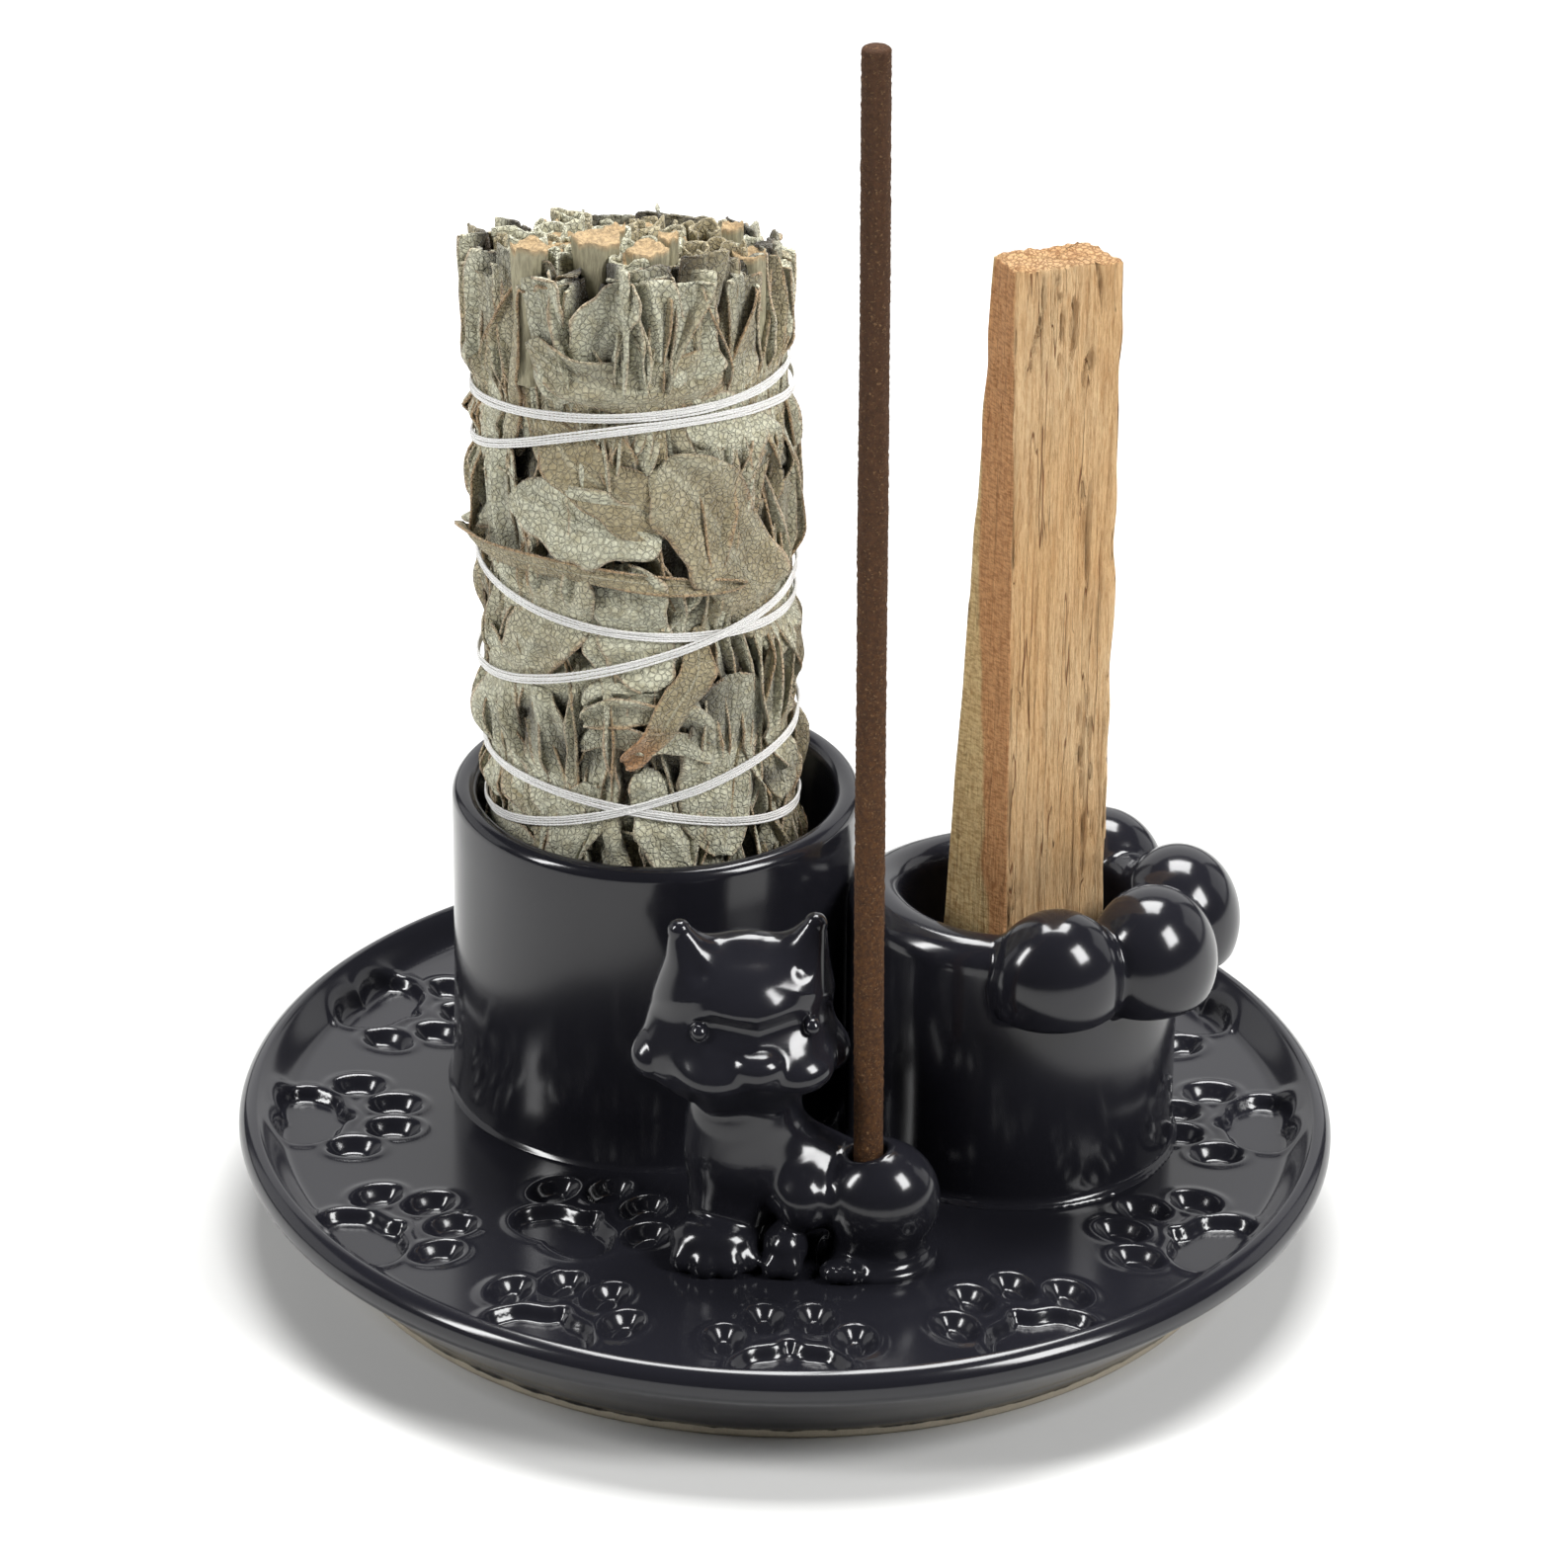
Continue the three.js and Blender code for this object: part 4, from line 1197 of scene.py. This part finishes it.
class MESH_OT_burner_stems(bpy.types.Operator):
    """Cut stems that stand above the leaves"""

    bl_idname = "mesh.burner_stems"
    bl_label = "Sage stems"

    def execute(self, context):
        settings = context.scene.burner_bundle
        finish = cut_stem(tuple(settings.bark), tuple(settings.cut))
        for n in range(1, 10):
            low, high = box_mm(f"sage_stem_{n}")
            (x, y, _), r = (low + high) / 2, (high[0] - low[0]) / 2
            top = high[2] - 0.6 - 4.8 * (y - BUNDLE_Y) / BUNDLE_R
            points, faces, cut = stem_mesh(x, y, low[2] - 13, top, r, 70 + n)
            piece = one_piece(f"cut_stem_{n}", finish, points, faces, cut=cut)
            settle(piece, "bundle", "sage_stem", f"sage_stem_{n}")
        for n, (x, y, rise, r) in enumerate(FRONT_STEMS):
            top = crown_height(BUNDLE_X + x, BUNDLE_Y + y) + rise - 0.6
            points, faces, cut = stem_mesh(BUNDLE_X + x, BUNDLE_Y + y, top - 19, top, r, 90 + n)
            settle(one_piece(f"rim_stem_{n + 1}", finish, points, faces, cut=cut), "bundle", "sage_stem")
        return {"FINISHED"}


# ---------------------------------------------------------------- thread
def thread_band(stock, name, order, settings):
    """Strands of twisted cotton side by side round the bundle."""
    r = settings.strand / MM / 2
    along, around = 620, 8
    a = np.arange(along) * TAU / along
    layer = 0.52 * (order % 2)
    for n in range(settings.strands):
        seed = 200 + 11 * order + n
        shift = (n - (settings.strands - 1) / 2) * 2.05 * r
        drift = 0.35 * r * noise(2.2 * np.cos(a), 2.2 * np.sin(a), n * 3.0, seed)
        z = band_height(name, a) + shift + drift
        crossing = ease(noise(1.5 * np.cos(a), 1.5 * np.sin(a), 0.0, order), -0.5, 0.4)
        stand = BUNDLE_R + 0.22 + layer * crossing
        stand = stand + 0.10 * noise(5 * np.cos(a), 5 * np.sin(a), 0.0, seed)
        turn = np.arange(around) * TAU / around
        ply = a * BUNDLE_R * TAU / (settings.lay / MM)
        a2, t2 = np.meshgrid(a, turn, indexing="ij")
        section = r * (1 + 0.22 * np.cos(2 * (t2 - ply[:, None])))
        radius = stand[:, None] + section * np.cos(t2)
        stock.add(
            round_bundle(a2, z[:, None] + section * np.sin(t2), radius),
            quads(along, around, wrap_rows=True, wrap_columns=True),
        )


class MESH_OT_burner_thread(bpy.types.Operator):
    """Six bands of white cotton thread round the bundle"""

    bl_idname = "mesh.burner_thread"
    bl_label = "Cotton thread"

    def execute(self, context):
        settings = context.scene.burner_thread
        finish = cotton(tuple(settings.white))
        for order, name in enumerate(BAND_NAMES):
            stock = Stock()
            thread_band(stock, name, order, settings)
            settle(stock.make(f"cotton_{name}", finish), "bundle", "cotton_thread", f"thread_{name}")
        return {"FINISHED"}


# ---------------------------------------------------------------- palo santo
# plan corners from the stick's axis at the foot and at the top: left, front, right, back
WOOD_FOOT = ((-11.0, 1.9), (-0.5, -6.8), (12.1, -2.8), (8.0, 5.2))
WOOD_TOP = ((-5.3, 0.7), (-2.6, -5.3), (11.6, -1.3), (7.2, 5.7))
WOOD_SIDES = (30, 46, 26, 44)  # columns of faces on the sawn, split, right and back sides


def wood_points(settings):
    """Points, faces and named values of the split stick."""
    low, high = box_mm("palo_santo_stick")
    cup = centre_mm("wood_cup")
    rows = 300
    relief = settings.relief / MM
    up = np.linspace(0, 1, rows)
    columns = sum(WOOD_SIDES)
    x, y, side, share = (np.zeros((rows, columns)) for _ in range(4))
    column = 0
    for n, count in enumerate(WOOD_SIDES):
        for step in range(count):
            t = step / count
            for plan, weight in ((WOOD_FOOT, 1 - up), (WOOD_TOP, up)):
                (ax, ay), (bx, by) = plan[n], plan[(n + 1) % 4]
                x[:, column] += weight * (ax + (bx - ax) * t)
                y[:, column] += weight * (ay + (by - ay) * t)
            side[:, column], share[:, column] = n, t
            column += 1
    z = np.repeat(up[:, None] * (high[2] - low[2]) + low[2], columns, 1)
    ahead = np.stack([np.roll(x, -1, 1) - np.roll(x, 1, 1), np.roll(y, -1, 1) - np.roll(y, 1, 1)], -1)
    out = np.stack([ahead[..., 1], -ahead[..., 0]], -1)
    out /= np.linalg.norm(out, axis=-1, keepdims=True)
    split = (side >= 1).astype(float)
    fibre = fractal(x / 0.75, y / 0.75, z / 16, 301, 3)
    broad = noise(x / 3.2, y / 3.2, z / 42, 305)
    line = np.abs(noise(x / 2.1 + 0.25 * noise(0 * x, 0 * y, z / 9, 8), y / 2.1, z / 30, 309))
    gate = ease(noise(x / 4, y / 4, z / 15, 311), 0.0, 0.4)
    crack = (1 - ease(line, 0.0, 0.045)) * gate * split
    checks = (1 - ease(np.abs(noise(x / 1.3, y / 1.3, z / 13, 315)), 0, 0.07)) * (1 - split)
    checks = checks * ease(noise(x / 4, y / 4, z / 9, 317), 0.25, 0.5)
    push = split * (relief * fibre + 0.45 * broad - 0.75 * crack)
    push = push + (1 - split) * (0.06 * fibre - 0.35 * checks)
    corner = np.minimum(share, 1 - share) * 12
    push = push * (0.4 + 0.6 * ease(corner, 0, 0.6)) - 0.42 * (1 - ease(corner, 0, 0.55))
    push = push + 0.30 * noise(0 * x, side * 7.0, z / 6, 319) * (1 - ease(corner, 0, 2.0))
    x, y = x + push * out[..., 0], y + push * out[..., 1]
    cx, cy = cup[0], cup[1]
    body = np.stack([x + cx, y + cy, z], -1)
    height = (z - low[2]) / (high[2] - low[2])
    boundary = 0.70 - 0.66 * ease(height, 0.15, 0.95) + 0.07 * fractal(0 * z, 0 * z, z / 11, 321, 2)
    sapwood = (side == 0) * (1 - ease(share - boundary, -0.03, 0.03))
    sapwood = np.maximum(sapwood, (side == 3) * ease(share, 0.45, 0.9) * (height < 0.95))
    values = {"crack": np.maximum(crack, checks), "sapwood": sapwood, "sawn": 1 - split, "end": 0 * z}
    return body, values


def wood_caps(body, values):
    """Closes both ends with rings that shrink to the middle, rough as sawn end grain."""
    rings, ring_values = [], []
    for level, way in ((-1, 1), (0, -1)):
        edge = body[level]
        middle = edge.mean(0)
        ring = []
        for share in (0.97, 0.85, 0.68, 0.5, 0.32, 0.14):
            points = middle + (edge - middle) * share
            torn = fractal(points[:, 0] / 0.9, points[:, 1] / 0.9, 0.0, 330, 3)
            points[:, 2] += way * (0.25 + 0.28 * torn)
            ring.append(points)
        rings.append(np.stack(ring))
    top, foot = rings
    full = np.concatenate([foot[::-1], body, top])
    stretched = {}
    for key, value in values.items():
        low_part = np.repeat(value[:1], len(foot), 0)
        high_part = np.repeat(value[-1:], len(top), 0)
        if key == "end":
            low_part, high_part = low_part + 1, high_part + 1
        if key in ("crack", "sawn"):
            low_part, high_part = low_part * 0, high_part * 0
        stretched[key] = np.concatenate([low_part, value, high_part]).ravel()
    return full, closed_tube(len(full), body.shape[1]), stretched


class MESH_OT_burner_wood(bpy.types.Operator):
    """Split palo santo stick"""

    bl_idname = "mesh.burner_wood"
    bl_label = "Palo santo"

    def execute(self, context):
        settings = context.scene.burner_wood
        finish = palo_santo(tuple(settings.heart), tuple(settings.side), tuple(settings.sap))
        points, faces, values = wood_caps(*wood_points(settings))
        piece = one_piece("split_wood", finish, points, faces, **values)
        settle(piece, "wood", "palo_santo", "palo_santo_stick")
        return {"FINISHED"}


# ---------------------------------------------------------------- incense
class MESH_OT_burner_incense(bpy.types.Operator):
    """Incense stick of pressed powder"""

    bl_idname = "mesh.burner_incense"
    bl_label = "Incense"

    def execute(self, context):
        settings = context.scene.burner_incense
        joint = next(j for j in frame["joints"] if j["child"] == "incense")
        axis = np.array(joint["axis"]) / np.linalg.norm(joint["axis"])
        low, high = box_mm("incense_stick")
        radius = (high[1] - low[1]) / 2
        foot = np.array([high[0] - radius, (low[1] + high[1]) / 2, low[2] + 0.05])
        reach = (high[2] - low[2]) / axis[2] - 0.1
        across = np.cross((0, 1, 0), axis)
        rows, columns = 760, 44
        end = np.array([0, 0.12, 0.35])  # finer steps where each end is rounded
        s = np.concatenate([end, np.linspace(0.8, reach - 0.8, rows - 6), reach - end[::-1]])
        a = np.arange(columns) * TAU / columns
        s, a = np.meshgrid(s, a, indexing="ij")
        rounded = np.sqrt(np.clip(1 - (1 - np.clip(np.minimum(s, reach - s) / 0.55, 0, 1)) ** 2, 0, 1))
        round_x, round_y = 2.6 * radius * np.cos(a), 2.6 * radius * np.sin(a)
        grit = settings.grit / MM * fractal(round_x, round_y, 2.6 * s, 401, 2)
        swell = 0.05 * noise(0 * a, 0 * a, s / 14, 405)
        r = (radius - 0.06 + grit + swell) * (0.80 + 0.20 * rounded)
        sway = 0.12 * noise(0 * s, 0 * s, s / 45, 407)
        points = (
            foot + s[..., None] * axis + (r * np.cos(a) + sway)[..., None] * across
            + (r * np.sin(a))[..., None] * np.array([0, 1.0, 0])
        )
        finish = incense_paste(tuple(settings.dark), tuple(settings.warm), tuple(settings.speck))
        piece = one_piece("incense_rod", finish, points, closed_tube(rows, columns))
        settle(piece, "incense", "incense_paste", "incense_stick")
        return {"FINISHED"}


# ---------------------------------------------------------------- stage
# soft boxes: name, place, size, brightness of their face, all in metres
SOFT_BOXES = (
    ("softbox_overhead", (0.05, 0.46, 1.35), (0.85, 0.60), 18.0),
    ("softbox_right", (0.86, -0.50, 0.86), (0.40, 0.56), 21.0),
    ("softbox_left", (-0.98, -0.36, 0.80), (0.20, 0.60), 25.0),
    ("card_behind", (0.0, 2.30, 1.10), (3.40, 1.90), 0.95),
    ("card_left", (-2.00, 0.95, 0.80), (1.80, 1.30), 0.75),
    ("card_right", (2.00, 1.15, 0.80), (1.40, 1.30), 0.80),
)


def soft_box(name, place, size, bright, target):
    """A rectangular lamp that faces the target."""
    lamp = bpy.data.lights.new(name, "AREA")
    lamp.shape = "RECTANGLE"
    lamp.size, lamp.size_y = size
    lamp.energy = bright * math.pi * size[0] * size[1]
    made = bpy.data.objects.new(name, lamp)
    made.location = place
    direction = Vector(target) - made.location
    made.rotation_euler = direction.to_track_quat("-Z", "Y").to_euler()
    bpy.context.scene.collection.objects.link(made)


def studio_air(dim, bright):
    """Surroundings that look white to the camera and stay dim in the glaze."""
    world = bpy.data.worlds.new("studio")
    bpy.context.scene.world = world
    world.use_nodes = True
    tree = world.node_tree
    tree.nodes.clear()
    path = tree.nodes.new("ShaderNodeLightPath")
    seen, lit = tree.nodes.new("ShaderNodeBackground"), tree.nodes.new("ShaderNodeBackground")
    seen.inputs[0].default_value = (bright, bright, bright, 1)
    lit.inputs[0].default_value = (dim, dim, dim, 1)
    choose = tree.nodes.new("ShaderNodeMixShader")
    output = tree.nodes.new("ShaderNodeOutputWorld")
    tree.links.new(path.outputs["Is Camera Ray"], choose.inputs[0])
    tree.links.new(lit.outputs[0], choose.inputs[1])
    tree.links.new(seen.outputs[0], choose.inputs[2])
    tree.links.new(choose.outputs[0], output.inputs[0])


class MESH_OT_burner_stage(bpy.types.Operator):
    """Pale floor, soft boxes and camera"""

    bl_idname = "mesh.burner_stage"
    bl_label = "Stage"

    def execute(self, context):
        scene = context.scene
        settings = scene.burner_stage
        side, drop = 4000.0, -0.02  # half the floor's width, and its height just under the foot
        corners = [(x * side, y * side, drop) for x, y in ((-1, -1), (1, -1), (1, 1), (-1, 1))]
        floor = one_piece("floor", floor_paper(tuple(settings.paper)), corners, [(0, 1, 2, 3)])
        for name, place, size, bright in SOFT_BOXES:
            soft_box(name, place, size, bright, (0.0, 0.0, 0.06))
        studio_air(dim=0.03, bright=1.0)
        scene.view_settings.view_transform = "Standard"
        camera = bpy.data.objects.new("camera", bpy.data.cameras.new("camera"))
        camera.data.lens = settings.lens
        camera.data.sensor_width = 36.0
        camera.data.clip_start, camera.data.clip_end = 0.05, 20.0
        camera.matrix_world = (
            Matrix.Translation((settings.side, -settings.distance, settings.rise))
            @ Matrix.Rotation(math.pi / 2 - settings.dip, 4, "X")
            @ Matrix.Rotation(settings.roll, 4, "Z")
        )
        scene.collection.objects.link(camera)
        scene.camera = camera
        return {"FINISHED"}


# ---------------------------------------------------------------- add-on
MAKERS = (
    MESH_OT_burner_stage, MESH_OT_burner_dish, MESH_OT_burner_sage_cup, MESH_OT_burner_paw_cup,
    MESH_OT_burner_cat, MESH_OT_burner_bundle, MESH_OT_burner_stems, MESH_OT_burner_thread,
    MESH_OT_burner_wood, MESH_OT_burner_incense,
)


class VIEW3D_PT_burner(bpy.types.Panel):
    """Buttons and sizes of the burner"""

    bl_label = "Incense burner"
    bl_idname = "VIEW3D_PT_burner"
    bl_space_type = "VIEW_3D"
    bl_region_type = "UI"
    bl_category = "Burner"

    def draw(self, context):
        for maker in MAKERS:
            self.layout.operator(maker.bl_idname)
        for key, group in SETTINGS.items():
            box = self.layout.box()
            for name in group.__annotations__:
                box.prop(getattr(context.scene, key), name)


CLASSES = (*SETTINGS.values(), *MAKERS, VIEW3D_PT_burner)


def register():
    for cls in CLASSES:
        bpy.utils.register_class(cls)
    for key, group in SETTINGS.items():
        setattr(bpy.types.Scene, key, PointerProperty(type=group))


def unregister():
    for key in SETTINGS:
        delattr(bpy.types.Scene, key)
    for cls in reversed(CLASSES):
        bpy.utils.unregister_class(cls)


def main():
    register()
    for maker in MAKERS:
        group, name = maker.bl_idname.split(".")
        getattr(getattr(bpy.ops, group), name)()


if __name__ == "__main__":
    main()
